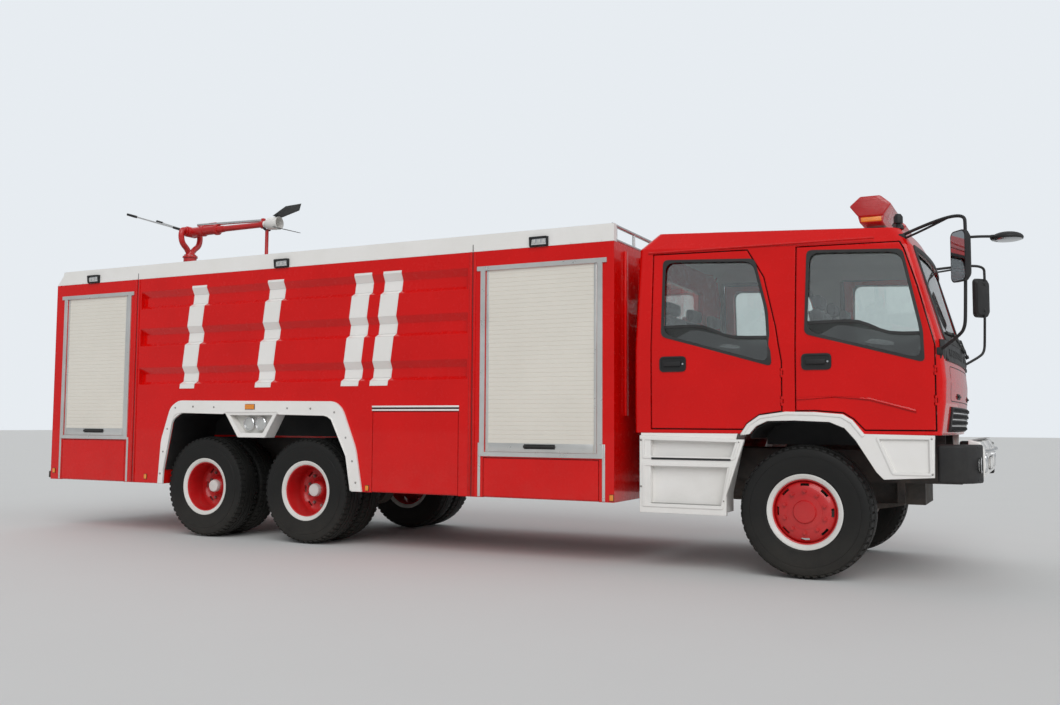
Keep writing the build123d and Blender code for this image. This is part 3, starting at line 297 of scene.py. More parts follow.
def makeTreadPlate(name):
    # Aluminium deck plate with raised diamonds, worn bright in patches.
    tree, shader, place = startMaterial(name)
    turned = node(tree, "Mapping", {"Vector": place, "Rotation": (0, 0, math.radians(45))})
    diamonds = combine(tree, "MULTIPLY", *waves(tree, turned, 9.0, "XY"))
    cloud = noise(tree, place, 6.0, 8, 0.7)
    colour = mix(tree, cloud, (0.44, 0.44, 0.43, 1), (0.3, 0.29, 0.27, 1))
    plug(tree, shader, {"Base Color": colour, "Roughness": spread(tree, cloud, 0.0, 1.0, 0.3, 0.55),
        "Normal": bump(tree, 0.6, 0.003, spread(tree, diamonds, 0.45, 0.75)), "Metallic": 0.85})


for name, recipe in recipes.items():
    makeSurface(name, recipe)
makeGlass("windowGlass", (0.8, 0.86, 0.84), 0.0, sheen=0.7)
makeGlass("darkGlass", (0.1, 0.105, 0.1), 0.0, 0.7)
makeGlass("clearLens", (0.88, 0.9, 0.9), 0.02, 0.9)
makeLens("redLens", (0.55, 0.01, 0.012), 0.15, 40.0)
makeLens("amberLens", (0.85, 0.28, 0.015), 0.25, 60.0)
makeLens("paleLens", (0.75, 0.76, 0.74), 0.0, 50.0)
makeRubber("tyreRubber")
makeCloth("seatCloth", (0.055, 0.058, 0.065), (0.085, 0.088, 0.095))
makeTreadPlate("treadPlate")
print("surfaces made", len(finishes))

# Which finish each CAD node wears, by the start of its name

nodeFinish = {"chassisPaint": ("chassis_frame", "front_axle", "rear_axles", "knuckle_"),
    "castMetal": ("driveline",), "paleMetal": ("chassis_tanks", "shutter_frames"),
    "redPaint": ("body_", "flap_", "cab_shell", "door_"), "slatPaint": ("roller_shutters",),
    "whitePaint": ("arch_trims", "roof_fascia", "bumper", "cab_skirts"),
    "brightTube": ("roof_rail", "ladder"), "windowGlass": ("cab_glass", "glass_"),
    "trimGrey": ("dashboard",), "seatCloth": ("seats",), "blackPlastic": ("cab_grille", "mirrors"),
    "redLens": ("light_bar",), "amberLens": ("lamps",), "monitorRed": ("monitor_",),
    "wheelRed": ("rim_",), "tyreRubber": ("tyre_",)}


def dress(name, material):
    mesh = nodes[name].data
    mesh.materials.clear()
    mesh.materials.append(material)


for name in nodes:
    for finish, starts in nodeFinish.items():
        if name.startswith(starts):
            dress(name, finishes[finish])
            break
print("frame dressed", len(nodes))

# Shapes that the pieces are built from

def addBlock(bm, low, high, bevel=0.0, segments=2, material=0):
    # A block between two corners, with rounded edges if bevel is given.
    part = bmesh.new()
    bmesh.ops.create_cube(part, size=1.0)
    bmesh.ops.scale(part, vec=[abs(b - a) for a, b in zip(low, high)], verts=part.verts)
    bmesh.ops.translate(part, vec=[(a + b) / 2 for a, b in zip(low, high)], verts=part.verts)
    if bevel:
        roundEdges(part, bevel, segments)
    pour(bm, part, material=material)


def addBox(bm, x, y, z, bevel=0.0, segments=2, material=0, side=1):
    # A block between pairs of places, x from the front axle and y out to one side.
    addBlock(bm, at(x[0], side * y[0], z[0]), at(x[1], side * y[1], z[1]), bevel, segments, material)


def along(outline):
    return [(ahead(x), z) for x, z in outline]


def roundEdges(bm, offset, segments=2, sharper=30):
    # Bevels the edges that turn by more than a number of degrees.
    bmesh.ops.recalc_face_normals(bm, faces=bm.faces)
    edges = [e for e in bm.edges if len(e.link_faces) == 2
        and e.calc_face_angle(0) > math.radians(sharper)]
    bmesh.ops.bevel(bm, geom=edges, offset=offset, segments=segments, affect="EDGES", profile=0.5,
        material=-1, clamp_overlap=True)


def pour(target, source, places=(Matrix(),), material=None, keep=False):
    # Copies of one small mesh into a larger one.
    if material is not None:
        for face in source.faces:
            face.material_index = material
    scratch = bpy.data.meshes.new("scratch")
    source.to_mesh(scratch)
    for place in places:
        count = len(target.verts)
        target.from_mesh(scratch)
        target.verts.ensure_lookup_table()
        bmesh.ops.transform(target, matrix=place, verts=target.verts[count:])
    bpy.data.meshes.remove(scratch)
    if not keep:
        source.free()


def pushOut(part, faces, way):
    # Turns flat faces into a body by pushing a copy of them along a way.
    grown = bmesh.ops.extrude_face_region(part, geom=faces)
    moved = [g for g in grown["geom"] if isinstance(g, bmesh.types.BMVert)]
    bmesh.ops.translate(part, vec=way, verts=moved)


def roundCorners(part, corner, segments):
    bmesh.ops.bevel(part, geom=list(part.verts), offset=corner, segments=segments, affect="VERTICES",
        profile=0.5, material=-1)


def spinRound(part, verts, pairs, steps, axis=(0, 1, 0)):
    # Spins a line of points round an axis through the middle.
    edges = [part.edges.new(pair) for pair in pairs]
    bmesh.ops.spin(part, geom=verts + edges, cent=(0, 0, 0), axis=axis, dvec=(0, 0, 0), angle=math.tau,
        steps=steps, use_merge=True, use_duplicate=False)


def addPrism(bm, outline, y0, y1, bevel=0.0, corner=0.0, material=0, segments=2):
    # A side-view outline of (x, z) points pushed from y0 to y1.
    part = bmesh.new()
    face = part.faces.new([part.verts.new((x, y0, z)) for x, z in outline])
    if corner:
        roundCorners(part, corner, 5)
        face = part.faces[:][0]
    pushOut(part, [face], (0, y1 - y0, 0))
    if bevel:
        roundEdges(part, bevel, segments)
    pour(bm, part, material=material)


def addRod(bm, start, end, radius, endRadius=None, sides=16, material=0):
    start, end = Vector(start), Vector(end)
    way = end - start
    part = bmesh.new()
    tip = radius if endRadius is None else endRadius
    bmesh.ops.create_cone(part, cap_ends=True, segments=sides, radius1=radius, radius2=tip,
        depth=way.length)
    turn = way.to_track_quat("Z", "Y").to_matrix().to_4x4()
    pour(bm, part, [Matrix.Translation((start + end) / 2) @ turn], material)


def addPipe(bm, points, radius, material=0, sides=5, steps=8):
    # A bent tube along a smooth line through a few points.
    data = bpy.data.curves.new("pipe", "CURVE")
    data.dimensions = "3D"
    data.bevel_depth = radius
    data.bevel_resolution = sides
    data.use_fill_caps = True
    spline = data.splines.new("NURBS")
    spline.points.add(len(points) - 1)
    for point, place in zip(spline.points, points):
        point.co = (*place, 1)
    spline.order_u = 3
    spline.use_endpoint_u = True
    spline.resolution_u = steps
    obj = bpy.data.objects.new("pipe", data)
    mesh = bpy.data.meshes.new_from_object(obj)
    part = bmesh.new()
    part.from_mesh(mesh)
    bmesh.ops.remove_doubles(part, verts=part.verts, dist=0.00001)
    pour(bm, part, material=material)
    bpy.data.objects.remove(obj)
    bpy.data.curves.remove(data)
    bpy.data.meshes.remove(mesh)


def addLathe(bm, profile, centre, axis="Y", side=1, steps=64, material=0):
    # A section of (across, radius) points spun about an axis; one that ends on the axis stays open.
    part = bmesh.new()
    verts = [part.verts.new({"X": (a, 0, r), "Y": (0, side * a, r), "Z": (r, 0, a)}[axis])
        for a, r in profile]
    pairs = list(zip(verts, verts[1:]))
    if profile[-1][1] > 0:
        pairs.append((verts[-1], verts[0]))
    spinRound(part, verts, pairs, steps, {"Y": (0, 1, 0), "Z": (0, 0, 1), "X": (1, 0, 0)}[axis])
    bmesh.ops.remove_doubles(part, verts=part.verts, dist=0.00002)
    pour(bm, part, [Matrix.Translation(centre)], material)


def addDome(bm, centre, radii, material=0, rings=10, around=24):
    # A stretched ball, half sunk where a rounded cap is wanted.
    part = bmesh.new()
    bmesh.ops.create_uvsphere(part, u_segments=around, v_segments=rings, radius=1.0)
    bmesh.ops.scale(part, vec=radii, verts=part.verts)
    pour(bm, part, [Matrix.Translation(centre)], material)


def makePiece(bm, name, wears, stands=(), sharp=32, body="chassis"):
    # Closes off a piece: outward faces, smooth shading, finishes, and the body that it rides on.
    bmesh.ops.recalc_face_normals(bm, faces=bm.faces)
    mesh = bpy.data.meshes.new(name)
    bm.to_mesh(mesh)
    bm.free()
    for finish in wears:
        mesh.materials.append(finishes[finish])
    mesh.shade_smooth()
    mesh.set_sharp_from_angle(angle=math.radians(sharp))
    piece = bpy.data.objects.new(name, mesh)
    scene.collection.objects.link(piece)
    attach(piece, body)
    if stands:
        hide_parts(*stands)
    return piece


# Tyres with ribs round the tread and lugs on the shoulders

tyre = {"ribs": ((-0.062, -0.034), (-0.025, 0.025), (0.034, 0.062)), "lugs": 54, "zigzag": 0.004,
    "wall": ((-0.09, 0.262), (-0.131, 0.302), (-0.1345, 0.31), (-0.1375, 0.318), (-0.1365, 0.328),
    (-0.1395, 0.35), (-0.143, 0.385), (-0.1446, 0.41), (-0.144, 0.438), (-0.1405, 0.441),
    (-0.1415, 0.452), (-0.1385, 0.48), (-0.133, 0.5), (-0.118, 0.512), (-0.07, 0.52)),
    "twin": (1.08, 0.764), "front": (1.04,)}


def crown(across):
    return 0.535 - 0.01 * (across / 0.115) ** 2


def addTyre(bm, centre, side, t):
    wall = list(t["wall"])
    profile = wall + [(-a, r) for a, r in reversed(wall)]
    addLathe(bm, profile, centre, side=side, steps=96)
    for low, high in t["ribs"]:
        ring = bmesh.new()
        verts = [ring.verts.new((0, a, r))
            for a, r in ((low, 0.512), (low, crown(low)), (high, crown(high)), (high, 0.512))]
        spinRound(ring, verts, [(verts[i], verts[(i + 1) % 4]) for i in range(4)], 108)
        for v in ring.verts:
            step = round(math.atan2(v.co.x, v.co.z) / math.tau * 108)
            v.co.y += t["zigzag"] * (1 if step % 4 < 2 else -1)
        pour(bm, ring, [Matrix.Translation(centre)])
    lug = bmesh.new()
    bmesh.ops.create_cube(lug, size=1.0)
    bmesh.ops.scale(lug, vec=(0.046, 0.058, 0.024), verts=lug.verts)
    for v in lug.verts:
        if v.co.z > 0 and v.co.y > 0:
            v.co.z -= 0.011
            v.co.y -= 0.002
        v.co.x *= 1.0 - 0.25 * (v.co.y > 0)
    for end in (-1, 1):
        turns = []
        for number in range(t["lugs"]):
            angle = (number + 0.25 * end) * math.tau / t["lugs"]
            seat = Matrix.Translation((0, end * 0.103, 0.5165)) @ Matrix.Diagonal((1, end, 1, 1))
            turns.append(Matrix.Translation(centre) @ Matrix.Rotation(angle, 4, "Y") @ seat)
        pour(bm, lug, turns, keep=end < 0)


for row, place, key in (("front", 0.0, "front"), ("middle", middleAxle, "twin"),
        ("rear", rearAxle, "twin")):
    for sideName, side in sides:
        bm = bmesh.new()
        for y in tyre[key]:
            addTyre(bm, at(place, side * y, wheelZ), side, tyre)
        makePiece(bm, f"tread_{row}_{sideName}", ["tyreRubber"], [f"tyre_{row}_{sideName}"],
            body=f"wheel_{row}_{sideName}")
print("tyres made")

# Rims: white flanges, red discs with hand holes, wheel nuts and hubs

rim = {"steps": 80, "holes": 8, "holeRing": (0.206, 0.232), "nuts": 10, "nutCircle": 0.1675}


def addNuts(bm, centre, side, across, r, material):
    nut = bmesh.new()
    bmesh.ops.create_cone(nut, cap_ends=True, segments=6, radius1=0.018, radius2=0.0165, depth=0.02)
    stud = bmesh.new()
    bmesh.ops.create_cone(stud, cap_ends=True, segments=10, radius1=0.01, radius2=0.009, depth=0.036)
    spots = []
    for number in range(r["nuts"]):
        angle = number * math.tau / r["nuts"]
        spot = Vector((math.sin(angle) * r["nutCircle"], side * across, math.cos(angle) * r["nutCircle"]))
        turn = Matrix.Rotation(-side * math.pi / 2, 4, "X")
        spots.append(Matrix.Translation(Vector(centre) + spot) @ turn)
    pour(bm, nut, spots, material)
    pour(bm, stud, spots, material)


def addFlange(bm, centre, side, offset=0.0):
    # Rolled outer and inner lips and the barrel between them; the lips are white.
    lip = [(0.1295, 0.299), (0.133, 0.303), (0.1375, 0.302), (0.1385, 0.2955), (0.1345, 0.285),
        (0.129, 0.268), (0.118, 0.26), (0.112, 0.264)]
    for end in (1, -1):
        addLathe(bm, [(offset + end * a, r) for a, r in lip], centre, side=side, steps=rim["steps"])
    barrel = [(0.119, 0.26), (0.09, 0.256), (-0.09, 0.256), (-0.119, 0.26), (-0.115, 0.251),
        (-0.09, 0.247), (0.09, 0.247), (0.115, 0.251)]
    addLathe(bm, [(offset + a, r) for a, r in barrel], centre, side=side, steps=rim["steps"], material=1)


def addDisc(bm, outer, inner, centre, side, r):
    # A pressed disc between two skins, with hand holes cut through one ring of it.
    low, high = r["holeRing"]
    part = bmesh.new()
    for skin in (outer, inner):
        verts = [part.verts.new((0, side * a, radius)) for a, radius in skin]
        spinRound(part, verts, zip(verts, verts[1:]), r["steps"])
    gone = []
    for face in part.faces:
        middle = face.calc_center_median()
        radius = math.hypot(middle.x, middle.z)
        turn = math.atan2(middle.x, middle.z) / math.tau * r["holes"]
        if low < radius < high and abs(turn - round(turn)) < 0.2:
            gone.append(face)
    bmesh.ops.delete(part, geom=gone, context="FACES")
    groups = {}
    for edge in [e for e in part.edges if e.is_boundary]:
        middle = (edge.verts[0].co + edge.verts[1].co) / 2
        radius = math.hypot(middle.x, middle.z)
        turn = math.atan2(middle.x, middle.z) / math.tau * r["holes"]
        inHole = low - 0.012 < radius < high + 0.012
        key = round(turn) % r["holes"] if inHole else ("in" if radius < low else "out")
        groups.setdefault(key, []).append(edge)
    for edges in groups.values():
        bmesh.ops.bridge_loops(part, edges=edges)
    pour(bm, part, [Matrix.Translation(centre)], 1)


for sideName, side in sides:
    centre = at(0, side * 1.04, wheelZ)
    bm = bmesh.new()
    addFlange(bm, centre, side)
    outer = ((0.066, 0.2515), (0.092, 0.243), (0.106, 0.23), (0.114, 0.208), (0.121, 0.195),
        (0.118, 0.135))
    inner = ((0.052, 0.2515), (0.078, 0.243), (0.092, 0.224), (0.101, 0.204), (0.106, 0.19),
        (0.104, 0.135))
    addDisc(bm, outer, inner, centre, side, rim)
    hub = ((-0.06, 0.0405), (-0.06, 0.095), (0.0, 0.11), (0.08, 0.12), (0.104, 0.138), (0.122, 0.138),
        (0.124, 0.095), (0.14, 0.085), (0.1415, 0.06), (0.1415, 0.0), (0.066, 0.0), (0.066, 0.0405))
    addLathe(bm, hub, centre, side=side, steps=64, material=1)
    addNuts(bm, centre, side, 0.128, rim, 2)
    makePiece(bm, f"rimDress_front_{sideName}", ["wheelWhite", "wheelRed", "wheelRed"],
        [f"rim_front_{sideName}"], body=f"wheel_front_{sideName}")

for row, place in (("middle", middleAxle), ("rear", rearAxle)):
    for sideName, side in sides:
        centre = at(place, side * 1.08, wheelZ)
        mate = -0.158      # plane midway between the twin wheels, from the outer wheel's own
        bm = bmesh.new()
        for offset in (0.0, 2 * mate):
            addFlange(bm, centre, side, offset)
        outer = ((-0.072, 0.2515), (-0.112, 0.243), (-0.128, 0.23), (-0.14, 0.208), (-0.146, 0.195),
            (-0.146, 0.135))
        inner = ((-0.086, 0.2515), (-0.124, 0.243), (-0.142, 0.224), (-0.151, 0.204), (-0.1575, 0.19),
            (-0.1575, 0.135))
        addDisc(bm, outer, inner, centre, side, rim)
        flip = [[(2 * mate - a, radius) for a, radius in skin] for skin in (outer, inner)]
        addDisc(bm, *flip, centre, side, rim)
        hub = ((-0.3, 0.0456), (-0.3, 0.12), (-0.172, 0.138), (-0.14, 0.138), (-0.118, 0.105),
            (-0.06, 0.094), (-0.04, 0.076), (-0.02, 0.0456))
        addLathe(bm, hub, centre, side=side, steps=64, material=1)
        cap = ((-0.034, 0.0456), (-0.034, 0.068), (-0.012, 0.068), (0.004, 0.06), (0.0095, 0.035),
            (0.0098, 0.0), (-0.004, 0.0), (-0.004, 0.0456))
        addLathe(bm, cap, centre, side=side, steps=48)
        addNuts(bm, centre, side, -0.136, rim, 2)
        makePiece(bm, f"rimDress_{row}_{sideName}", ["wheelWhite", "wheelRed", "boltSteel"],
            [f"rim_{row}_{sideName}"], body=f"wheel_{row}_{sideName}")
print("rims made")

# Places on the cab's sloping side

cab = {"lowWidth": 1.197, "highWidth": 1.11, "lowZ": 1.88, "highZ": 2.69,
    "roofFall": math.tan(math.radians(2.95))}


def cabSide(x, z):
    # Half width of the cab's side wall at a point given from the front axle.
    share = (z - cab["lowZ"]) / (cab["highZ"] - x * cab["roofFall"] - cab["lowZ"])
    share = min(max(share, 0.0), 1.0)
    return cab["lowWidth"] + share * (cab["highWidth"] - cab["lowWidth"]) + 0.003 * (z < 1.6)


def layOnSide(part, side, lift, wall=cabSide):
    # A flat piece drawn in X and Z, with Y as its height off the wall, laid against that wall.
    for v in part.verts:
        v.co.y = side * (wall(v.co.x, v.co.z) + lift + v.co.y)
        v.co.x += frontAxle


def addOnSide(bm, part, side, lift, material=0):
    layOnSide(part, side, lift)
    pour(bm, part, material=material)


def layFlat(part, side, face):
    # As layOnSide does it, but against an upright wall, face metres from the truck's middle.
    for v in part.verts:
        v.co = at(v.co.x, side * (face + v.co.y), v.co.z)
    return part


def wallLine(line, side, face):
    # Points of a line on an upright wall, each with its outward way.
    return [(Vector(at(x, side * face, z)), Vector((0, side, 0))) for x, z in line]


def insetLine(outline, width):
    # The outline moved inwards by a width.
    ring = [Vector(point) for point in outline]
    turn = 1 if sum(a.x * b.y - b.x * a.y for a, b in zip(ring, ring[1:] + ring[:1])) > 0 else -1
    points = []
    for i, corner in enumerate(ring):
        back = (corner - ring[i - 1]).normalized()
        on = (ring[(i + 1) % len(ring)] - corner).normalized()
        one, two = Vector((-back.y, back.x)) * turn, Vector((-on.y, on.x)) * turn
        points.append(tuple(corner + (one + two) * (width / (1 + one.dot(two)))))
    return points


def softened(outline, radius, above=-1.0, steps=5):
    # The same outline with its corners above a height rounded.
    points = []
    for i, corner in enumerate(outline):
        corner = Vector(corner)
        back = Vector(outline[i - 1]) - corner
        on = Vector(outline[(i + 1) % len(outline)]) - corner
        if corner.y < above:
            points.append(tuple(corner))
            continue
        start = corner + back.normalized() * min(radius, back.length * 0.45)
        end = corner + on.normalized() * min(radius, on.length * 0.45)
        points += [tuple(start.lerp(corner, k / steps).lerp(corner.lerp(end, k / steps), k / steps))
            for k in range(steps + 1)]
    return points


def makeSheet(loops, y, thick, shift=0.0):
    # Fills between (x, z) outlines and gives the sheet a thickness along Y.
    part = bmesh.new()
    edges = []
    for loop in loops:
        verts = [part.verts.new((shift + x, y, z)) for x, z in loop]
        edges += [part.edges.new(pair) for pair in zip(verts, verts[1:] + verts[:1])]
    bmesh.ops.triangle_fill(part, edges=edges, use_beauty=True, normal=(0, 1, 0))
    pushOut(part, part.faces[:], (0, thick, 0))
    return part


def flatRing(outline, width, corner, thick, inner=None):
    # A band round an outline, inside it, with rounded corners.
    inside = softened(insetLine(outline, width), inner or max(corner - width, 0.003))
    return makeSheet((softened(outline, corner), inside), 0, thick)


def flatPlate(outline, corner, thick, segments=4):
    part = bmesh.new()
    part.faces.new([part.verts.new((x, 0, z)) for x, z in outline])
    if corner:
        roundCorners(part, corner, segments)
    pushOut(part, part.faces[:], (0, thick, 0))
    return part


def box2d(x0, x1, z0, z1):
    return ((x0, z0), (x1, z0), (x1, z1), (x0, z1))


def makeProbe(*names, extra=None):
    # Finds where a ray meets these CAD nodes, and an unfinished piece, to lay pieces on their faces.
    verts, faces = [], []
    if extra:
        extra.verts.index_update()
        verts = [v.co.copy() for v in extra.verts]
        faces = [[v.index for v in face.verts] for face in extra.faces]
    for name in names:
        start = len(verts)
        verts += [v.co.copy() for v in nodes[name].data.vertices]
        faces += [[start + i for i in face.vertices] for face in nodes[name].data.polygons]
    return BVHTree.FromPolygons(verts, faces)


nose = makeProbe("cab_shell", "cab_glass")


def noseX(y, z, probe=None):
    # X of the cab's front face at a height and side place.
    hit = (probe or nose).ray_cast(Vector((8, y, z)), Vector((-1, 0, 0)))[0]
    return hit.x if hit else None


def addStrip(bm, spots, width, rise, closed=False, sink=0.001, material=0):
    # A flat band with softened edges along (point, outward normal) spots.
    part = bmesh.new()
    rings = []
    for i, (point, normal) in enumerate(spots):
        back = spots[i - 1][0] if i or closed else point
        on = spots[(i + 1) % len(spots)][0] if i + 1 < len(spots) or closed else point
        way = (on - back).normalized()
        side = normal.cross(way).normalized() * (width / 2)
        soft = min(rise, width / 2) * 0.45
        edge = side.normalized() * soft
        rings.append([part.verts.new(point + a)
            for a in (-side - normal * sink, -side + normal * (rise - soft), -side + edge + normal * rise,
            side - edge + normal * rise, side + normal * (rise - soft), side - normal * sink)])
    count = len(rings)
    for i in range(count if closed else count - 1):
        low, high = rings[i], rings[(i + 1) % count]
        for j in range(6):
            part.faces.new((low[j], low[(j + 1) % 6], high[(j + 1) % 6], high[j]))
    if not closed:
        part.faces.new(rings[0])
        part.faces.new(rings[-1][::-1])
    bmesh.ops.recalc_face_normals(part, faces=part.faces)
    pour(bm, part, material=material)


def roundedPath(half, low, high, corner, step=0.05):
    # Points (y, z) round a rectangle with rounded corners, closed.
    points = []
    for cy, cz, start in ((half - corner, high - corner, 0), (corner - half, high - corner, 90),
            (corner - half, low + corner, 180), (half - corner, low + corner, 270)):
        for turn in range(0, 91, 15):
            angle = math.radians(start + turn)
            points.append((cy + corner * math.cos(angle), cz + corner * math.sin(angle)))
    path = []
    for a, b in zip(points, points[1:] + points[:1]):
        parts = max(1, round(math.dist(a, b) / step))
        path += [(a[0] + (b[0] - a[0]) * k / parts, a[1] + (b[1] - a[1]) * k / parts)
            for k in range(parts)]
    return path


# Main forms laid over the CAD's plainer ones: bumper, grille, cowl, skirts and arch trims

def addHoled(bm, outline, holes, y0, y1):
    # A plate with openings in it, pushed from y0 to y1.
    pour(bm, makeSheet((outline, *holes), y0, y1 - y0, frontAxle))


# The guard bar has its place ahead, half width, height and radius.
bumper = {"beam": ((1.2, 0.795), (1.27, 0.8), (1.308, 0.835), (1.32, 0.93), (1.312, 1.05), (1.282, 1.105),
    (1.2, 1.122)), "over": ((1.2, 0.965), (1.3172, 0.965), (1.312, 1.05), (1.282, 1.105), (1.2, 1.122)),
    "under": ((1.2, 0.795), (1.27, 0.8), (1.308, 0.835), (1.3138, 0.88), (1.2, 0.88)), "slot": 0.43,
    "half": 0.93, "guard": (1.342, 0.82, 1.03, 0.014),
    "corner": ((0.998, 1.178), (1.135, 1.178), (1.2, 1.145), (1.262, 1.068), (1.3125, 0.9315),
    (1.202, 0.9315), (1.122, 1.06), (0.998, 1.092)), "cornerLow": 0.792, "cornerTall": 0.294}
bm = bmesh.new()
for _, side in sides:
    addPrism(bm, along(bumper["beam"]), side * bumper["slot"], side * bumper["half"], 0.008, segments=3)
    addBox(bm, (1.1203, 1.201), (0.34, 0.43), (0.82, 1.0), 0.004, 2, 1, side=side)
    x, half, z, radius = bumper["guard"]
    addRod(bm, at(1.3, side * 0.64, z), at(x, side * 0.64, z), radius * 0.8, material=2)
for part in ("over", "under"):
    addPrism(bm, along(bumper[part]), -bumper["slot"] - 0.004, bumper["slot"] + 0.004, 0.006, segments=3)
addBox(bm, (1.2, 1.236), (-0.436, 0.436), (0.872, 0.972), material=1)
addPipe(bm, [at(x - 0.05, -half, z), at(x, -half + 0.045, z), at(x, 0, z), at(x, half - 0.045, z),
    at(x - 0.05, half, z)], radius, 2)
makePiece(bm, "bumperBeam", ["whitePaint", "chassisPaint", "brightTube"], ["bumper"])

bm = bmesh.new()
for _, side in sides:
    part = bmesh.new()
    face = part.faces.new([part.verts.new(at(x, side * y, bumper["cornerLow"]))
        for x, y in bumper["corner"]])
    pushOut(part, [face], (0, 0, bumper["cornerTall"]))
    bmesh.ops.recalc_face_normals(part, faces=part.faces)
    outer = [e for e in part.edges if all(abs(v.co.y) > 1.063 or v.co.x > ahead(1.25) for v in e.verts)
        and e.calc_face_angle(0) > math.radians(20)]
    bmesh.ops.bevel(part, geom=outer, offset=0.026, segments=5, affect="EDGES", profile=0.5, material=-1,
        clamp_overlap=True)
    pour(bm, part)
bumperEnd = BVHTree.FromBMesh(bm)
makePiece(bm, "bumperCorners", ["blackPlastic"], sharp=45)


def noseSpot(y, z, lift=0.0):
    hit, normal = nose.ray_cast(Vector((8, y, z)), Vector((-1, 0, 0)))[:2]
    return hit + normal * lift, normal


def noseLine(y0, y1, z0, z1=None, lift=0.0, parts=14):
    z1 = z0 if z1 is None else z1
    steps = [k / parts for k in range(parts + 1)]
    return [noseSpot(y0 + (y1 - y0) * t, z0 + (z1 - z0) * t, lift) for t in steps]


bm = bmesh.new()
addStrip(bm, noseLine(-1.05, 1.05, 1.81, parts=42), 0.164, 0.009, sink=0.012)
addStrip(bm, noseLine(-0.9, 0.9, 1.278, parts=36), 0.2, 0.014, sink=0.012)
nose = makeProbe("cab_shell", "cab_glass", extra=bm)
makePiece(bm, "nosePanels", ["blackPlastic"], ["cab_grille"], sharp=45)

skirtForm = {"flare": ((-0.497, 1.153), (-0.442, 1.234), (-0.342, 1.304), (-0.13, 1.335), (0.099, 1.332),
    (0.317, 1.314), (0.391, 1.269), (0.476, 1.161), (0.989, 1.153), (0.983, 0.835), (0.623, 0.813),
    (0.614, 0.816), (0.563, 0.869), (0.411, 1.113), (0.329, 1.206), (0.215, 1.253), (-0.059, 1.264),
    (-0.277, 1.259), (-0.367, 1.218), (-0.426, 1.152), (-0.497, 1.14)),
    "fore": ((0.59, 1.118), (0.945, 1.118), (0.945, 0.872), (0.7, 0.872)),
    "step": ((-1.374, 1.134), (-0.466, 1.106), (-0.617, 0.653), (-0.62, 0.48), (-1.375, 0.48)),
    "box": ((-1.374, 1.1547), (-0.53, 1.1547), (-0.64, 0.653), (-0.64, 0.5), (-1.374, 0.5)),
    "steps": (((-1.275, 1.108), (-0.535, 1.098), (-0.585, 0.95), (-1.275, 0.95)),
    ((-1.275, 0.886), (-0.607, 0.886), (-0.668, 0.56), (-1.275, 0.56)))}
trimForm = {"ring": ((-6.998, 0.553), (-6.962, 1.026), (-6.835, 1.387), (-6.716, 1.46), (-4.597, 1.44),
    (-4.504, 1.366), (-4.334, 0.969), (-4.255, 0.553), (-4.378, 0.553), (-4.439, 0.895), (-4.629, 1.257),
    (-4.721, 1.301), (-6.668, 1.327), (-6.798, 1.25), (-6.916, 0.7), (-6.926, 0.553)),
    "box": ((-6.045, 1.34), (-5.852, 1.068), (-5.483, 1.068), (-5.315, 1.34)),
    "well": ((-6.03, 1.325), (-5.852, 1.068), (-5.483, 1.068), (-5.33, 1.325)),
    "hole": ((-5.975, 1.3), (-5.82, 1.115), (-5.52, 1.115), (-5.39, 1.3))}
for sideName, side in sides:
    bm = bmesh.new()
    addPrism(bm, along(skirtForm["flare"]), side * 1.2003, side * 1.2185)
    addHoled(bm, skirtForm["flare"], [skirtForm["fore"]], side * 1.218, side * 1.232)
    addPrism(bm, along(skirtForm["box"]), side * 0.94, side * 1.1725)
    addHoled(bm, skirtForm["box"], skirtForm["steps"], side * 1.172, side * 1.1995)
    addHoled(bm, skirtForm["step"], skirtForm["steps"], side * 1.199, side * 1.232)
    makePiece(bm, f"skirts_{sideName}", ["whitePaint"], ["cab_skirts"], sharp=25)
    bm = bmesh.new()
    addHoled(bm, softened(trimForm["ring"], 0.06, 0.8), (), side * bodyFace, side * 1.272)
    addHoled(bm, trimForm["box"], [trimForm["hole"]], side * bodyFace, side * 1.2717)
    addHoled(bm, trimForm["well"], [trimForm["hole"]], side * 1.19, side * bodyFace)
    addPrism(bm, along(trimForm["well"]), side * 1.13, side * 1.1905)
    makePiece(bm, f"archTrim_{sideName}", ["whitePaint"], ["arch_trims"], sharp=25)
print("main forms made")

# Door dress: window rubbers, the dark low pane under its rail, handles, creases and inside cards

doorDress = {"front": {"window": ((0.036, 2.649), (0.023, 1.964), (0.923, 1.716), (0.914, 1.96),
    (0.769, 2.609)), "rail": ((0.034, 2.052), (0.2, 2.056), (0.36, 2.056), (0.44, 2.046), (0.51, 2.02),
    (0.6, 1.975), (0.67, 1.952), (0.76, 1.943), (0.908, 1.94)),
    "lowPane": ((0.914, 1.726), (0.034, 1.968)), "handle": (0.114, 1.735),
    "crease": ((-0.045, 1.452), (0.25, 1.462), (0.52, 1.448), (0.86, 1.352)),
    "card": ((-0.03, 1.36), (-0.03, 1.9), (0.93, 1.66), (0.98, 1.22), (0.5, 1.22), (0.33, 1.35))},
    "rear": {"window": ((-1.191, 2.649), (-1.191, 1.983), (-0.247, 1.709), (-0.281, 2.172),
    (-0.397, 2.609)), "rail": ((-1.18, 2.06), (-1.02, 2.064), (-0.9, 2.062), (-0.82, 2.05), (-0.74, 2.02),
    (-0.65, 1.978), (-0.57, 1.958), (-0.46, 1.95), (-0.27, 1.946)),
    "lowPane": ((-0.258, 1.722), (-1.18, 1.988)), "handle": (-1.086, 1.74), "crease": (),
    "card": ((-1.24, 1.24), (-1.24, 1.93), (-0.24, 1.66), (-0.2, 1.36), (-0.4, 1.32), (-0.52, 1.22))}}


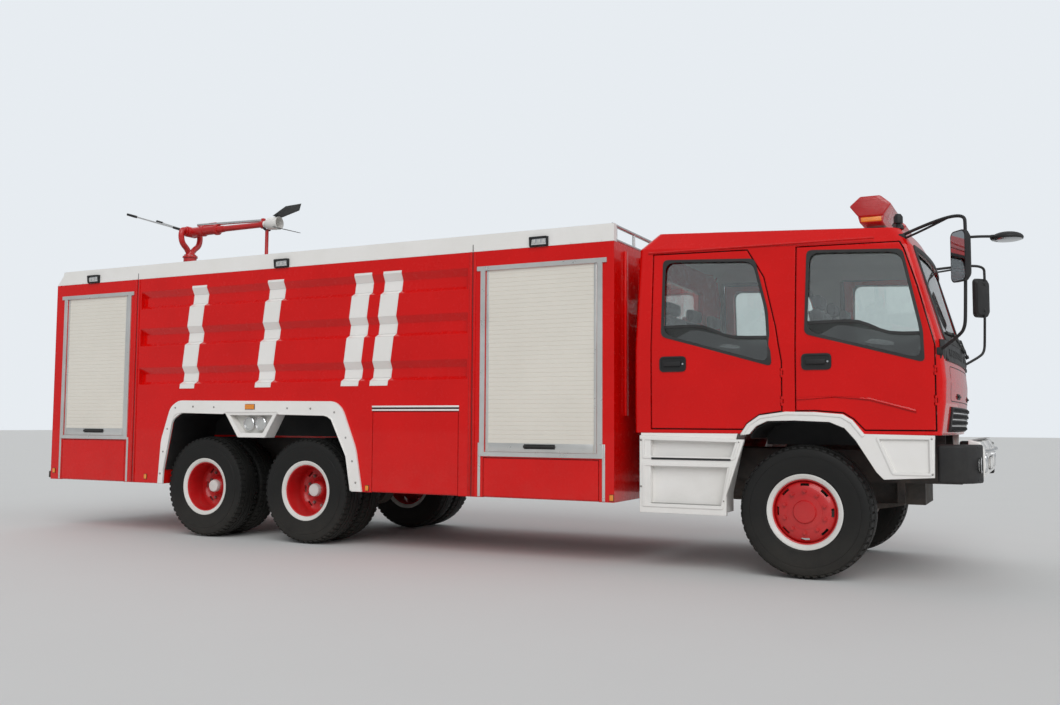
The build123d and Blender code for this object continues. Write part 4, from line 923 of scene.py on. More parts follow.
def addHandle(bm, place, side):
    # A black cup let into the skin, with a pull across it.
    x, z = place
    frameRing = flatRing(box2d(x - 0.118, x + 0.118, z - 0.066, z + 0.066), 0.016, 0.04, 0.009)
    addOnSide(bm, frameRing, side, 0.0005, 1)
    cup = flatPlate(box2d(x - 0.106, x + 0.106, z - 0.054, z + 0.054), 0.032, 0.002)
    addOnSide(bm, cup, side, 0.0005, 1)
    y = cabSide(x, z)
    addBox(bm, (x - 0.08, x + 0.072), (y + 0.003, y + 0.021), (z - 0.02, z + 0.022), 0.006, 3, 1,
        side=side)
    addRod(bm, at(x + 0.088, side * (y + 0.001), z), at(x + 0.088, side * (y + 0.006), z), 0.008,
        material=2)


for name, d in doorDress.items():
    for sideName, side in sides:
        bm = bmesh.new()
        seal = flatRing(insetLine(d["window"], -0.004), 0.024, 0.046, 0.008, inner=0.085)
        addOnSide(bm, seal, side, -0.002)
        addOnSide(bm, flatPlate(d["rail"] + d["lowPane"], 0.0, 0.0012), side, -0.0196, 3)
        spots = [(Vector(at(x, side * (cabSide(x, z) - 0.019), z)), Vector((0, side, 0.1)).normalized())
            for x, z in d["rail"]]
        addStrip(bm, spots, 0.026, 0.005)
        addHandle(bm, d["handle"], side)
        makePiece(bm, f"doorDress_{name}_{sideName}",
            ["rubberSeal", "blackPlastic", "chrome", "darkGlass"],
            body=f"door_{name}_{sideName}")
        if d["crease"]:
            bm = bmesh.new()
            low = [(x, z - 0.016) for x, z in reversed(d["crease"])]
            crease = flatPlate(list(d["crease"]) + low, 0.0, 0.007)
            for v in crease.verts:
                if v.co.y > 0:
                    v.co.z += 0.004 if (v.co.x, round(v.co.z, 4)) in low else -0.009
            addOnSide(bm, crease, side, -0.001)
            makePiece(bm, f"doorCrease_{name}_{sideName}", ["redPaint"], sharp=60,
                body=f"door_{name}_{sideName}")
        bm = bmesh.new()
        pour(bm, layFlat(flatPlate(d["card"], 0.05, 0.012), side, 1.1265))
        x, z = d["handle"]
        inside = 1.126
        addBox(bm, (x + 0.1, x + 0.46), (inside - 0.045, inside), (z - 0.16, z - 0.11), 0.012, 3, 1,
            side=side)
        addBox(bm, (x + 0.12, x + 0.5), (inside - 0.028, inside), (z - 0.36, z - 0.24), 0.012, 3, 1,
            side=side)
        makePiece(bm, f"doorCard_{name}_{sideName}", ["liningGrey", "trimGrey"],
            body=f"door_{name}_{sideName}")
print("doors dressed")

# Plain white strips down the tank's side, all of one form; heads are their front top corners

strips = {"heads": (-6.365, -5.296, -4.18, -3.83), "wide": 0.215, "top": 2.715, "foot": 1.59,
    "slant": 0.15}
bandEdges = ((2.69, 2.49), (2.27, 2.07), (1.83, 1.64))


def tankSide(x, z):
    # The tank's side, pressed in along three bands.
    for top, foot in bandEdges:
        if foot < z < top:
            return 1.25 - 0.048 * min((top - z) / 0.07, (z - foot) / 0.03, 1.0)
    return 1.25


breaks = sorted(z for top, foot in bandEdges for z in (top, top - 0.07, foot + 0.03, foot))
for number, head in enumerate(strips["heads"]):
    foot = head - strips["slant"]
    outline = ((head - strips["wide"], strips["top"]), (head, strips["top"]), (foot, strips["foot"]),
        (foot - strips["wide"], strips["foot"]))
    for sideName, side in sides:
        part = bmesh.new()
        part.faces.new([part.verts.new((x, 0, z)) for x, z in outline])
        for z in breaks:
            bmesh.ops.bisect_plane(part, geom=part.verts[:] + part.edges[:] + part.faces[:],
                plane_co=(0, 0, z), plane_no=(0, 0, 1), dist=0.0001)
        pushOut(part, part.faces[:], (0, 0.0012, 0))
        layOnSide(part, side, 0.0004, tankSide)
        bm = bmesh.new()
        pour(bm, part)
        makePiece(bm, f"strip{number}_{sideName}", ["whitePaint"], sharp=20)
print("strips painted")

# Body seams, shutter bars with their handles and the trim over the access flaps

# A seam has its place, foot and top; a shutter has two ends, foot, top and the middle of its grip.
bodyTrim = {"seams": ((-7.41, 0.552, 2.836), (-3.03, 0.552, 2.836)),
    "shutters": ((-8.55, -7.56, 1.065, 2.66, -8.05), (-2.885, -1.765, 0.965, 2.65, -2.325))}
for sideName, side in sides:
    bm = bmesh.new()
    face = 1.2502
    for x, low, high in bodyTrim["seams"]:
        addBox(bm, (x - 0.003, x + 0.003), (face, face + 0.001), (low, high), side=side)
        for end in (-1, 1):
            addBox(bm, (x + end * 0.034, x + end * 0.008), (face, face + 0.006), (low, high), 0.002, 2, 1,
                side=side)
    for x0, x1, z0, z1, _ in bodyTrim["shutters"]:
        for x in (x0 + 0.004, x1 - 0.03):
            addBox(bm, (x, x + 0.026), (1.244, 1.2496), (z0 + 0.002, z1 - 0.002), 0.002, 2, 2, side=side)
    makePiece(bm, f"bodySeams_{sideName}", ["rubberSeal", "redPaint", "paleMetal"])
    bm = bmesh.new()
    for x0, x1, z0, z1, middle in bodyTrim["shutters"]:
        grip = 0.155
        bar = z0 + 0.055
        addBox(bm, (x0 + 0.035, x1 - 0.035), (1.2442, 1.25), (z0 + 0.003, z0 + 0.085), 0.003, side=side)
        addBox(bm, (middle - grip, middle + grip), (1.249, 1.2535), (bar - 0.022, bar + 0.022), 0.004, 2,
            1, side=side)
        for end in (-1, 1):
            foot = middle + end * grip * 0.93
            addBox(bm, (foot - 0.014, foot + 0.014), (1.25, 1.268), (bar - 0.012, bar + 0.012), 0.004, 2,
                1, side=side)
        reach = grip * 0.95
        addRod(bm, at(middle - reach, side * 1.266, bar), at(middle + reach, side * 1.266, bar), 0.0085,
            sides=12, material=1)
    makePiece(bm, f"shutterBars_{sideName}", ["paleMetal", "blackPlastic"])
    bm = bmesh.new()
    access = (-4.155, -3.165)      # ends of the trim over the access flap
    for z, thick in ((1.352, 0.008), (1.386, 0.009)):
        addBox(bm, access, (bodyFace, 1.2575), (z - thick, z + thick), 0.003, side=side)
    addBox(bm, access, (bodyFace, 1.252), (1.362, 1.376), material=1, side=side)
    makePiece(bm, f"accessTrim_{sideName}", ["whitePaint", "rubberSeal"])
print("body trimmed")

# Scene lamps, side markers, tail lamps and headlamps, then the lamps in the arch trims

lampPlaces = {"scene": (-8.125, -5.325, -2.335),
    "markers": ((-7.2, 0.62), (-8.69, 0.65), (-4.2, 0.59), (-1.625, 0.59)), "archMarker": (-5.697, 1.388),
    "tail": 1.12}
bm = bmesh.new()
for _, side in sides:
    for x in lampPlaces["scene"]:
        addBox(bm, (x - 0.094, x + 0.094), (1.2505, 1.266), (2.836, 2.927), 0.004, side=side)
        part = flatRing(box2d(x - 0.092, x + 0.092, 2.838, 2.926), 0.014, 0.01, 0.02)
        for v in part.verts:
            tilt = 0.012 * (2.926 - v.co.z) / 0.088
            v.co.y = side * (1.264 + v.co.y - tilt * (v.co.y > 0.01))
            v.co.x += frontAxle
        pour(bm, part)
        addBox(bm, (x - 0.08, x + 0.08), (1.264, 1.27), (2.85, 2.914), 0.003, 2, 1, side=side)
        for step in range(3):
            place = x - 0.05 + 0.05 * step
            addBox(bm, (place - 0.018, place + 0.018), (1.269, 1.2735), (2.862, 2.902), 0.003, 2, 3,
                side=side)
    for x, z in lampPlaces["markers"] + (lampPlaces["archMarker"],):
        out = 1.2725 if z > 1 else bodyFace
        wide = 0.062 if z > 1 else 0.018
        addBox(bm, (x - wide - 0.004, x + wide + 0.004), (out, out + 0.004), (z - 0.029, z + 0.029),
            0.002, side=side)
        addBox(bm, (x - wide, x + wide), (out + 0.003, out + 0.0125), (z - 0.025, z + 0.025), 0.005, 3, 2,
            side=side)
    for y0, y1, lens in ((-0.098, -0.036, 4), (-0.03, 0.034, 2), (0.04, 0.098, 3)):
        middle = side * lampPlaces["tail"]
        addBox(bm, (-8.7955, -8.777), (middle + y0, middle + y1), (0.65, 0.75), 0.006, 3, lens)
    addBox(bm, (-8.78, -8.7505), (1.02, 1.22), (0.645, 0.755), 0.006, 3, 0, side=side)
    addBox(bm, (1.2903, 1.296), (0.5605, 0.8595), (0.8705, 0.9995), 0.003, side=side)
    for y0, y1, z0, z1 in ((0.561, 0.859, 0.871, 0.879), (0.561, 0.859, 0.991, 0.999),
            (0.561, 0.57, 0.871, 0.999), (0.85, 0.859, 0.871, 0.999)):
        addBox(bm, (1.294, 1.3218), (y0, y1), (z0, z1), 0.003, 2, 1, side=side)
    for y in (0.628, 0.746):
        addLathe(bm, ((0.0, 0.0), (0.0, 0.02), (0.0085, 0.04), (0.019, 0.053), (0.019, 0.056),
            (0.0, 0.05)), at(1.2945, side * y, 0.935), axis="X", steps=40, material=1)
        addDome(bm, at(1.301, side * y, 0.935), (0.01, 0.013, 0.013), material=3)
    addBox(bm, (1.295, 1.312), (0.806, 0.848), (0.884, 0.986), 0.004, 3, 2, side=side)
    addBox(bm, (1.316, 1.32), (0.569, 0.851), (0.878, 0.992), 0.0015, 2, 5, side=side)
makePiece(bm, "lampDress", ["blackPlastic", "chrome", "amberLens", "paleLens", "redLens", "clearLens"],
    ["lamps"])

archLamp = {"lamps": (-5.745, -5.588), "z": 1.212}
for sideName, side in sides:
    bm = bmesh.new()
    pour(bm, layFlat(flatPlate(trimForm["hole"], 0.0, 0.0012), side, 1.1906))
    pour(bm, layFlat(flatRing(trimForm["box"], 0.01, 0.014, 0.005), side, trimFace), material=3)
    for x in archLamp["lamps"]:
        spot = at(x, side * 1.1918, archLamp["z"])
        addLathe(bm, ((0.0, 0.07), (0.04, 0.072), (0.044, 0.066), (0.02, 0.056), (0.0, 0.05)), spot,
            side=side, steps=40, material=1)
        addLathe(bm, ((0.02, 0.056), (0.03, 0.06), (0.038, 0.03), (0.04, 0.0), (0.02, 0.0)), spot,
            side=side, steps=40, material=2)
    makePiece(bm, f"archLamp_{sideName}", ["liningGrey", "chrome", "paleLens", "whitePaint"])
print("lamps made")

# Warning light on the roof: faceted red domes at both ends of a black middle, on feet

warning = {"profile": ((0.392, 2.958), (0.32, 3.052), (0.408, 3.129), (0.566, 3.129), (0.654, 3.052),
    (0.59, 2.958)), "base": ((0.402, 2.906), (0.386, 2.962), (0.596, 2.962), (0.584, 2.906)),
    "ends": 0.78, "gap": 0.262}
bm = bmesh.new()
for _, side in sides:
    addPrism(bm, along(warning["profile"]), side * warning["gap"], side * warning["ends"], 0.012,
        segments=3)
    for x0, x1, z in ((0.35, 0.626, 3.04), (0.375, 0.6, 3.092)):
        addBox(bm, (x0, x1), (0.779, 0.7815), (z - 0.002, z + 0.002), 0.0008, side=side)
    addBox(bm, (0.412, 0.574), (0.75, 0.7785), (2.914, 2.952), 0.006, 3, 4, side=side)
middle = [(ahead(0.487 + (x - 0.487) * 0.9), 2.958 + (z - 2.958) * 0.9) for x, z in warning["profile"]]
addPrism(bm, middle, -warning["gap"], warning["gap"], 0.01, material=1, segments=3)
addPrism(bm, along(warning["base"]), -0.765, 0.765, 0.006, segments=3)
for y in (-0.64, -0.4, 0.4, 0.64):
    addLathe(bm, ((0.0, 0.01), (0.0, 0.07), (0.09, 0.05), (0.09, 0.01)), at(0.485, y, 2.965), axis="Z",
        steps=32, material=2)
for _, side in sides:
    for x in (0.446, 0.564):
        addRod(bm, at(x, side * 0.56, 2.868), at(x, side * 0.56, 2.91), 0.01, sides=12, material=3)
    addPrism(bm, along(((0.43, 2.8655), (0.58, 2.858), (0.58, 2.87), (0.43, 2.878))), side * 0.52,
        side * 0.6, 0.003, material=3)
    addBox(bm, (0.428, 0.582), (0.53, 0.59), (2.896, 2.908), 0.003, 2, 3, side=side)
makePiece(bm, "warningLight", ["redLens", "blackPlastic", "chrome", "boltSteel", "amberLens"],
    ["light_bar"])
print("warning light made")

# Mirrors: bent arms, a tall main mirror each side and a front-view mirror on the right

mirror = {"y": 1.366, "x": 1.215, "z": 2.482, "half": (0.092, 0.192), "deep": 0.062, "tube": 0.0125,
    "arm": ((0.76, 1.012, 2.735), (1.02, 1.24, 2.79), (1.238, 1.37, 2.8), (1.246, 1.371, 2.7),
    (1.232, 1.37, 2.06), (1.226, 1.368, 1.96), (1.19, 1.32, 1.9), (1.03, 1.172, 1.8))}


def mirrorFace(half, corner):
    part = bmesh.new()
    corners = ((-1, -1), (1, -1), (1, 1), (-1, 1))
    part.faces.new([part.verts.new((0, a * half[0], b * half[1])) for a, b in corners])
    roundCorners(part, corner, 6)
    return part


def addMirrorHead(bm, centre, half, deep, side, corner):
    # Rounded shell opening backwards, with the glass just inside its lip.
    part = mirrorFace(half, corner)
    back = part.faces[:]
    for push, shrink in ((deep * 0.55, 0.98), (deep * 0.32, 0.88), (deep * 0.13, 0.62)):
        grown = bmesh.ops.extrude_face_region(part, geom=back)
        back = [g for g in grown["geom"] if isinstance(g, bmesh.types.BMFace)]
        moved = [g for g in grown["geom"] if isinstance(g, bmesh.types.BMVert)]
        bmesh.ops.translate(part, vec=(push, 0, 0), verts=moved)
        bmesh.ops.scale(part, vec=(1, shrink, shrink), verts=moved)
    turn = Matrix.Rotation(side * math.radians(-38), 4, "Z")
    spot = Matrix.Translation(centre) @ turn @ Matrix.Translation((-deep / 2, 0, 0))
    pour(bm, part, [spot], 0)
    glass = mirrorFace(half, corner)
    bmesh.ops.scale(glass, vec=(1, 0.9, 0.95), verts=glass.verts)
    pushOut(glass, glass.faces[:], (-0.002, 0, 0))
    pour(bm, glass, [spot], 1)


bm = bmesh.new()
for _, side in sides:
    m = mirror
    addPipe(bm, [at(x, side * y, z) for x, y, z in m["arm"]], m["tube"], 0)
    addPipe(bm, [at(0.775, side * 1.02, 2.705), at(0.96, side * 1.17, 2.745),
        at(1.12, side * 1.3, 2.792)], 0.009, 0)
    addBox(bm, (0.735, 0.79), (0.99, 1.045), (2.69, 2.745), 0.01, 3, 0, side=side)
    addBox(bm, (1.008, 1.058), (1.15, 1.2), (1.765, 1.825), 0.01, 3, 0, side=side)
    addMirrorHead(bm, at(m["x"], side * m["y"], m["z"]), m["half"], m["deep"], side, 0.045)
    for z in (2.62, 2.36):
        addBox(bm, (m["x"] - 0.005, m["x"] + 0.034), (m["y"] - 0.022, m["y"] + 0.022),
            (z - 0.018, z + 0.018), 0.005, side=side)
addPipe(bm, [at(1.238, -1.37, 2.62), at(1.33, -1.345, 2.628), at(1.44, -1.29, 2.625)], 0.01, 0)
part = bmesh.new()
bmesh.ops.create_uvsphere(part, u_segments=32, v_segments=16, radius=1.0)
bmesh.ops.scale(part, vec=(0.111, 0.111, 0.045), verts=part.verts)
bmesh.ops.bisect_plane(part, geom=part.verts[:] + part.edges[:] + part.faces[:], plane_co=(0, 0, -0.012),
    plane_no=(0, 0, 1), clear_inner=True)
bmesh.ops.holes_fill(part, edges=[e for e in part.edges if e.is_boundary])
pour(bm, part, [Matrix.Translation(at(1.52, -1.25, 2.616))], 0)
addDome(bm, at(1.52, -1.25, 2.604), (0.102, 0.102, 0.014), material=1, around=32)
addBox(bm, (1.405, 1.455), (-1.3, -1.262), (2.605, 2.64), 0.008, 3, 0)
makePiece(bm, "mirrorSet", ["blackPlastic", "mirrorFace"], ["mirrors"])
print("mirrors made")

# Roof monitor: swivel base, two curved waterways, body, barrel, nozzle and steering rods

monitor = {"x": -7.9, "lift": 3.632}
mx = ahead(monitor["x"])
bm = bmesh.new()
addLathe(bm, ((deckZ, 0.0), (deckZ, 0.15), (2.852, 0.15), (2.857, 0.145), (2.859, 0.075), (2.87, 0.06),
    (3.24, 0.057), (3.25, 0.08), (3.298, 0.08), (3.2998, 0.0)), (mx, 0, 0), axis="Z", steps=48)
for number in range(8):
    angle = (number + 0.5) * math.tau / 8
    x, y = mx + 0.115 * math.cos(angle), 0.115 * math.sin(angle)
    addRod(bm, (x, y, 2.855), (x, y, 2.868), 0.011, sides=6, material=1)
makePiece(bm, "monitorFoot", ["monitorRed", "boltSteel"], ["monitor_base"])

bm = bmesh.new()
rest = ahead(-6.65)
addLathe(bm, ((deckZ, 0.0), (deckZ, 0.07), (2.85, 0.07), (2.853, 0.024), (2.86, 0.0215), (3.56, 0.0215),
    (3.56, 0.0)), (rest, 0, 0), axis="Z", steps=32)
addPipe(bm, [(rest, -0.062, 3.586), (rest, -0.055, 3.562), (rest, 0.0, 3.562), (rest, 0.055, 3.562),
    (rest, 0.062, 3.586)], 0.012, 1)
makePiece(bm, "monitorPost", ["monitorRed", "blackPlastic"], ["monitor_rest"])

bm = bmesh.new()
addLathe(bm, ((3.3006, 0.0), (3.3006, 0.092), (3.32, 0.092), (3.323, 0.078), (3.342, 0.074),
    (3.35, 0.058), (3.38, 0.05), (3.38, 0.0)), (mx, 0, 0), axis="Z", steps=48)
for _, side in sides:
    addPipe(bm, [(mx, side * 0.012, 3.345), (mx, side * 0.05, 3.41), (mx, side * 0.14, 3.47),
        (mx, side * 0.165, 3.58), (mx, side * 0.13, 3.66), (mx, side * 0.088, 3.632)], 0.036, 0, steps=10)
    addLathe(bm, ((0.0826, 0.0242), (0.0826, 0.052), (0.098, 0.054), (0.111, 0.05), (0.111, 0.0242)),
        (mx, 0, 3.632), side=side, steps=40)
    for number in range(3):
        angle = side * (0.5 + number) * math.pi / 3
        x, y = mx + 0.083 * math.cos(angle), 0.083 * math.sin(angle)
        addRod(bm, (x, y, 3.318), (x, y, 3.331), 0.008, sides=6, material=1)
makePiece(bm, "monitorTurn", ["monitorRed", "boltSteel"], ["monitor_turret"],
    body="monitor_turret")

bm = bmesh.new()
z = monitor["lift"]
pivot = (mx, 0, z)
addLathe(bm, ((-0.0815, 0.0), (-0.0815, 0.06), (-0.07, 0.066), (0.07, 0.066), (0.0815, 0.06),
    (0.0815, 0.0)), pivot, steps=40)
for _, side in sides:
    addRod(bm, (mx, side * 0.08, z), (mx, side * 0.1115, z), 0.0236, sides=24)
addLathe(bm, ((0.04, 0.0), (0.04, 0.058), (0.19, 0.058), (0.2, 0.07), (0.235, 0.07), (0.24, 0.058),
    (0.42, 0.056), (0.426, 0.069), (0.462, 0.069), (0.47, 0.046), (0.56, 0.04), (0.56, 0.0)), pivot,
    axis="X", steps=40)
addLathe(bm, ((0.54, 0.0), (0.54, 0.0365), (1.2, 0.0335), (1.2, 0.0)), pivot, axis="X", steps=40)
addPrism(bm, [(mx + 0.14, z + 0.045), (mx + 0.46, z + 0.045), (mx + 0.44, z + 0.092),
    (mx + 0.18, z + 0.088)], -0.016, 0.016, 0.004)
addRod(bm, (mx + 0.12, 0, z + 0.082), (mx + 1.2, 0, z + 0.052), 0.019, sides=20, material=2)
addLathe(bm, ((1.17, 0.0), (1.17, 0.05), (1.215, 0.05), (1.215, 0.0)), pivot, axis="X", steps=36)
addBlock(bm, (mx + 1.17, -0.02, z), (mx + 1.21, 0.02, z + 0.076), 0.005)
nozzle = ((1.28, 0.03), (1.25, 0.052), (1.29, 0.074), (1.37, 0.08), (1.44, 0.08), (1.445, 0.07),
    (1.37, 0.06), (1.3, 0.034))
addLathe(bm, nozzle, pivot, axis="X", steps=40, material=3)
addLathe(bm, ((1.2, 0.0), (1.2, 0.044), (1.3, 0.04), (1.3, 0.0)), pivot, axis="X", steps=36, material=3)
# The deflector plates wear the dark trim grey as painted shade, taken from their undersides in shadow.
for way in (1, -0.75):      # the upper plate leans out further
    plate = bmesh.new()
    corners = ((1.4, -0.072), (1.4, 0.072), (1.64, 0.125), (1.77, 0.0), (1.64, -0.125))
    plate.faces.new([plate.verts.new((mx + x, y, z + way * (0.076 + 0.34 * (x - 1.4))))
        for x, y in corners])
    pushOut(plate, plate.faces[:], (0, 0, 0.005))
    pour(bm, plate, material=4)
for _, side in sides:
    root = Vector((mx - 0.03, side * 0.045, z + 0.01))
    tip = Vector(at(-8.765, side * 0.246, 3.894))
    addRod(bm, root, root.lerp(tip, 0.86), 0.01, sides=14, material=2)
    addRod(bm, root.lerp(tip, 0.84), tip, 0.0165, 0.0155, sides=18, material=5)
    addRod(bm, root, root.lerp(tip, 0.22), 0.0175, 0.015, sides=18, material=5)
makePiece(bm, "monitorGun", ["monitorRed", "boltSteel", "brightTube", "whitePaint", "trimGrey",
    "blackPlastic"], ["monitor_barrel"], body="monitor_barrel")
print("monitor made")

# Cab front: windscreen rubber, wipers, nose seam, grille bars, cowl vents and bumper fittings

# Screen and seam have a half width, foot, top and corner; a wiper has a pivot and two ends.
front = {"screen": (1.0, 1.912, 2.628, 0.03), "seam": (0.94, 1.42, 1.69, 0.04),
    "wipers": ((0.8, 0.69, -0.02), (0.02, -0.11, -0.82)), "slots": (1.203, 1.253, 1.303, 1.353),
    "bars": (1.228, 1.278, 1.328)}
bm = bmesh.new()
addStrip(bm, [noseSpot(y, z, 0.0195) for y, z in roundedPath(*front["screen"])], 0.05, 0.009, closed=True)
makePiece(bm, "screenRubber", ["rubberSeal"], sharp=50)

bm = bmesh.new()
for pivot, start, end in front["wipers"]:
    addStrip(bm, noseLine(start, end, 1.985, 1.962, 0.0035), 0.012, 0.02)
    addStrip(bm, noseLine(start - 0.03, end + 0.03, 1.984, 1.964, 0.024), 0.02, 0.007, material=1)
    root = noseSpot(pivot, 1.862, 0.004)[0]
    grip = noseSpot((start + end) / 2, 1.974, 0.036)[0]
    bend = noseSpot(pivot * 0.65 + (start + end) * 0.175, 1.905, 0.04)[0]
    addPipe(bm, [root + Vector((0.018, 0, 0)), bend, grip], 0.0075, 1)
    addRod(bm, root, root + Vector((0.03, 0, 0.008)), 0.02, 0.016, material=1)
    addRod(bm, noseSpot((start + end) / 2, 1.974, 0.02)[0], grip, 0.01, material=1)
makePiece(bm, "wiperSet", ["rubberSeal", "blackPlastic"])

bm = bmesh.new()
addStrip(bm, [noseSpot(y, z) for y, z in roundedPath(*front["seam"])], 0.007, 0.0012, closed=True)
for _, side in sides:
    addStrip(bm, noseLine(side * 0.42, side * 0.6, 1.462, parts=4), 0.044, 0.006, material=1)
    addStrip(bm, noseLine(side * 0.445, side * 0.575, 1.462, lift=0.006, parts=4), 0.016, 0.01,
        material=1)
makePiece(bm, "noseSeam", ["rubberSeal", "blackPlastic"])

bm = bmesh.new()
for z in front["slots"]:
    for _, side in sides:
        addStrip(bm, noseLine(side * 0.024, side * 0.858, z, lift=0.0002), 0.024, 0.003)
        for number in range(27):
            y = side * (0.05 + 0.03 * number)
            spot = noseSpot(y, z)[0]
            addBlock(bm, (spot.x + 0.002, y - 0.003, z - 0.0115), (spot.x + 0.009, y + 0.003, z + 0.0115),
                material=1)
for z in front["bars"]:
    addStrip(bm, noseLine(-0.87, 0.87, z, parts=24), 0.01, 0.004, material=2)
makePiece(bm, "grilleBars", ["rubberSeal", "blackPlastic", "chrome"])

bm = bmesh.new()
for _, side in sides:
    for number in range(9):
        y = side * (0.13 + 0.095 * number)
        addStrip(bm, noseLine(y - 0.032, y + 0.032, 1.8, parts=4), 0.062, 0.003)
        for z in (1.78, 1.8, 1.82):
            addStrip(bm, noseLine(y - 0.029, y + 0.029, z, lift=0.0025, parts=3), 0.007, 0.004,
                material=1)
for z in (1.738, 1.882):
    addStrip(bm, noseLine(-1.02, 1.02, z, parts=28), 0.012, 0.005, material=1)
makePiece(bm, "cowlVents", ["rubberSeal", "blackPlastic"])

bm = bmesh.new()
addBox(bm, (1.3205, 1.3225), (-0.235, 0.235), (0.868, 0.978), 0.0008)
addBox(bm, (1.3222, 1.3242), (-0.22, 0.22), (0.874, 0.972), 0.0008, 2, 1)
for y in (-0.15, 0.15):
    addRod(bm, at(1.324, y, 0.962), at(1.3262, y, 0.962), 0.006, sides=12, material=2)
for _, side in sides:
    x = noseX(side * 1.01, 0.93, bumperEnd)
    spot = (x, side * 1.01, 0.93)
    addLathe(bm, ((-0.02, 0.03), (0.012, 0.06), (0.015, 0.058), (0.006, 0.048), (-0.01, 0.03)), spot,
        axis="X", steps=40, material=3)
    addLathe(bm, ((-0.004, 0.0), (-0.004, 0.048), (0.006, 0.047), (0.01, 0.025), (0.011, 0.0)), spot,
        axis="X", steps=40, material=4)
    for z in (0.815, 1.064):
        addStrip(bm, [(Vector((noseX(side * y, z, bumperEnd), side * y, z)), Vector((1, 0, 0)))
            for y in (0.962, 0.985, 1.015, 1.04)], 0.01, 0.004)
addBox(bm, (1.23, 1.275), (-0.9, 0.9), (1.1205, 1.1235), 0.001, 2, 5)
makePiece(bm, "bumperDress", ["blackPlastic", "whitePaint", "boltSteel", "chrome", "paleLens",
    "treadPlate"])
print("cab front made")

# White skirts: raised frames, step treads, bolts and the lip of the flare

skirt = {"face": 1.232, "upper": ((-1.35, 1.118), (-0.49, 1.104), (-0.545, 0.938), (-1.35, 0.938)),
    "lower": ((-1.35, 0.9), (-0.56, 0.9), (-0.646, 0.53), (-1.35, 0.53)),
    "fore": ((0.56, 1.14), (0.968, 1.14), (0.968, 0.85), (0.68, 0.85)),
    "lip": ((-0.482, 1.148), (-0.424, 1.232), (-0.335, 1.29), (-0.128, 1.32), (0.098, 1.317),
    (0.308, 1.299), (0.384, 1.252), (0.47, 1.142))}
for sideName, side in sides:
    bm = bmesh.new()
    for name, width in (("upper", 0.022), ("lower", 0.024), ("fore", 0.018)):
        pour(bm, layFlat(flatRing(skirt[name], width, 0.02, 0.005), side, skirt["face"]))
    addStrip(bm, wallLine(skirt["lip"], side, skirt["face"]), 0.024, 0.006)
    for z, x0, x1 in ((0.95, -1.268, -0.562), (0.56, -1.268, -0.668)):
        addBox(bm, (x0, x1), (1.1735, 1.231), (z + 0.0002, z + 0.004), 0.001, 2, 1, side=side)
    addBox(bm, (-1.268, -0.58), (1.2325, 1.2385), (0.93, 0.948), 0.002, 2, 2, side=side)
    for x, z in ((-1.362, 1.095), (-1.362, 0.7), (-0.51, 1.085), (-0.64, 0.6), (0.965, 1.128),
            (0.967, 0.862)):
        addLathe(bm, ((0.0, 0.01), (0.003, 0.009), (0.006, 0.005), (0.0065, 0.0), (0.0, 0.0)),
            at(x, side * skirt["face"], z), side=side, steps=12, material=3)
    makePiece(bm, f"skirtDress_{sideName}", ["whitePaint", "treadPlate", "rubberSeal", "boltSteel"])
print("skirts dressed")

# Arch trims: a rolled lip along the inner edge and bolts along the flange

arch = {"lip": ((-6.923, 0.7), (-6.805, 1.238), (-6.78, 1.288), (-6.735, 1.318), (-6.668, 1.33),
    (-6.06, 1.318)),
    "lipFront": ((-5.3, 1.312), (-4.73, 1.302), (-4.68, 1.29), (-4.632, 1.258), (-4.445, 0.898),
    (-4.384, 0.56)),
    "bolts": ((-6.96, 0.66), (-6.925, 0.9), (-6.87, 1.15), (-6.76, 1.38), (-6.5, 1.392), (-6.2, 1.386),
    (-5.2, 1.372), (-4.9, 1.368), (-4.6, 1.33), (-4.455, 1.08), (-4.37, 0.85), (-4.325, 0.64))}
for sideName, side in sides:
    bm = bmesh.new()
    for key in ("lip", "lipFront"):
        addStrip(bm, wallLine(arch[key], side, trimFace), 0.014, 0.006)
    for x, z in arch["bolts"]:
        addLathe(bm, ((0.0, 0.011), (0.003, 0.01), (0.006, 0.006), (0.0068, 0.0), (0.0, 0.0)),
            at(x, side * trimFace, z), side=side, steps=12, material=1)
    makePiece(bm, f"archDress_{sideName}", ["whitePaint", "boltSteel"])
print("arches dressed")

# Inner skin of the cab: the shell's own inside, a few millimetres in

cabMiddle = Vector(at(-0.2, 0, 2.0))
shellMesh = bmesh.new()
shellMesh.from_mesh(nodes["cab_shell"].data)
bmesh.ops.remove_doubles(shellMesh, verts=shellMesh.verts, dist=0.00002)
outside = []
for face in shellMesh.faces:
    c = face.calc_center_median()
    x = c.x - frontAxle
    wall = cabSide(x, c.z) - 0.053
    noseAt = noseX(min(max(c.y, -1.0), 1.0), min(c.z, 2.6))
    inner = abs(c.y) < wall and x > -1.322 and c.z > 1.325 and (noseAt is None or c.x < noseAt - 0.035)
    if not inner or face.normal.dot(cabMiddle - c) < 0.05:
        outside.append(face)
bmesh.ops.delete(shellMesh, geom=outside, context="FACES")
for v in shellMesh.verts:
    v.co += (cabMiddle - v.co).normalized() * 0.004
bmesh.ops.solidify(shellMesh, geom=shellMesh.faces[:], thickness=0.0015)
makePiece(shellMesh, "cabLining", ["liningGrey"], sharp=40)

bm = bmesh.new()
addBox(bm, (-1.3, 0.74), (-1.11, 1.11), (1.3206, 1.327), 0.001)
for _, side in sides:
    addBox(bm, (-1.18, -0.25), (side * 0.35 - 0.24, side * 0.35 + 0.24), (1.3272, 1.333), 0.004, 2, 1)
    addBox(bm, (0.6, 0.73), (side * 0.62 - 0.22, side * 0.62 + 0.22), (1.3272, 1.333), 0.004, 2, 1)
makePiece(bm, "cabFloor", ["rubberSeal", "trimGrey"])
print("cab lined")

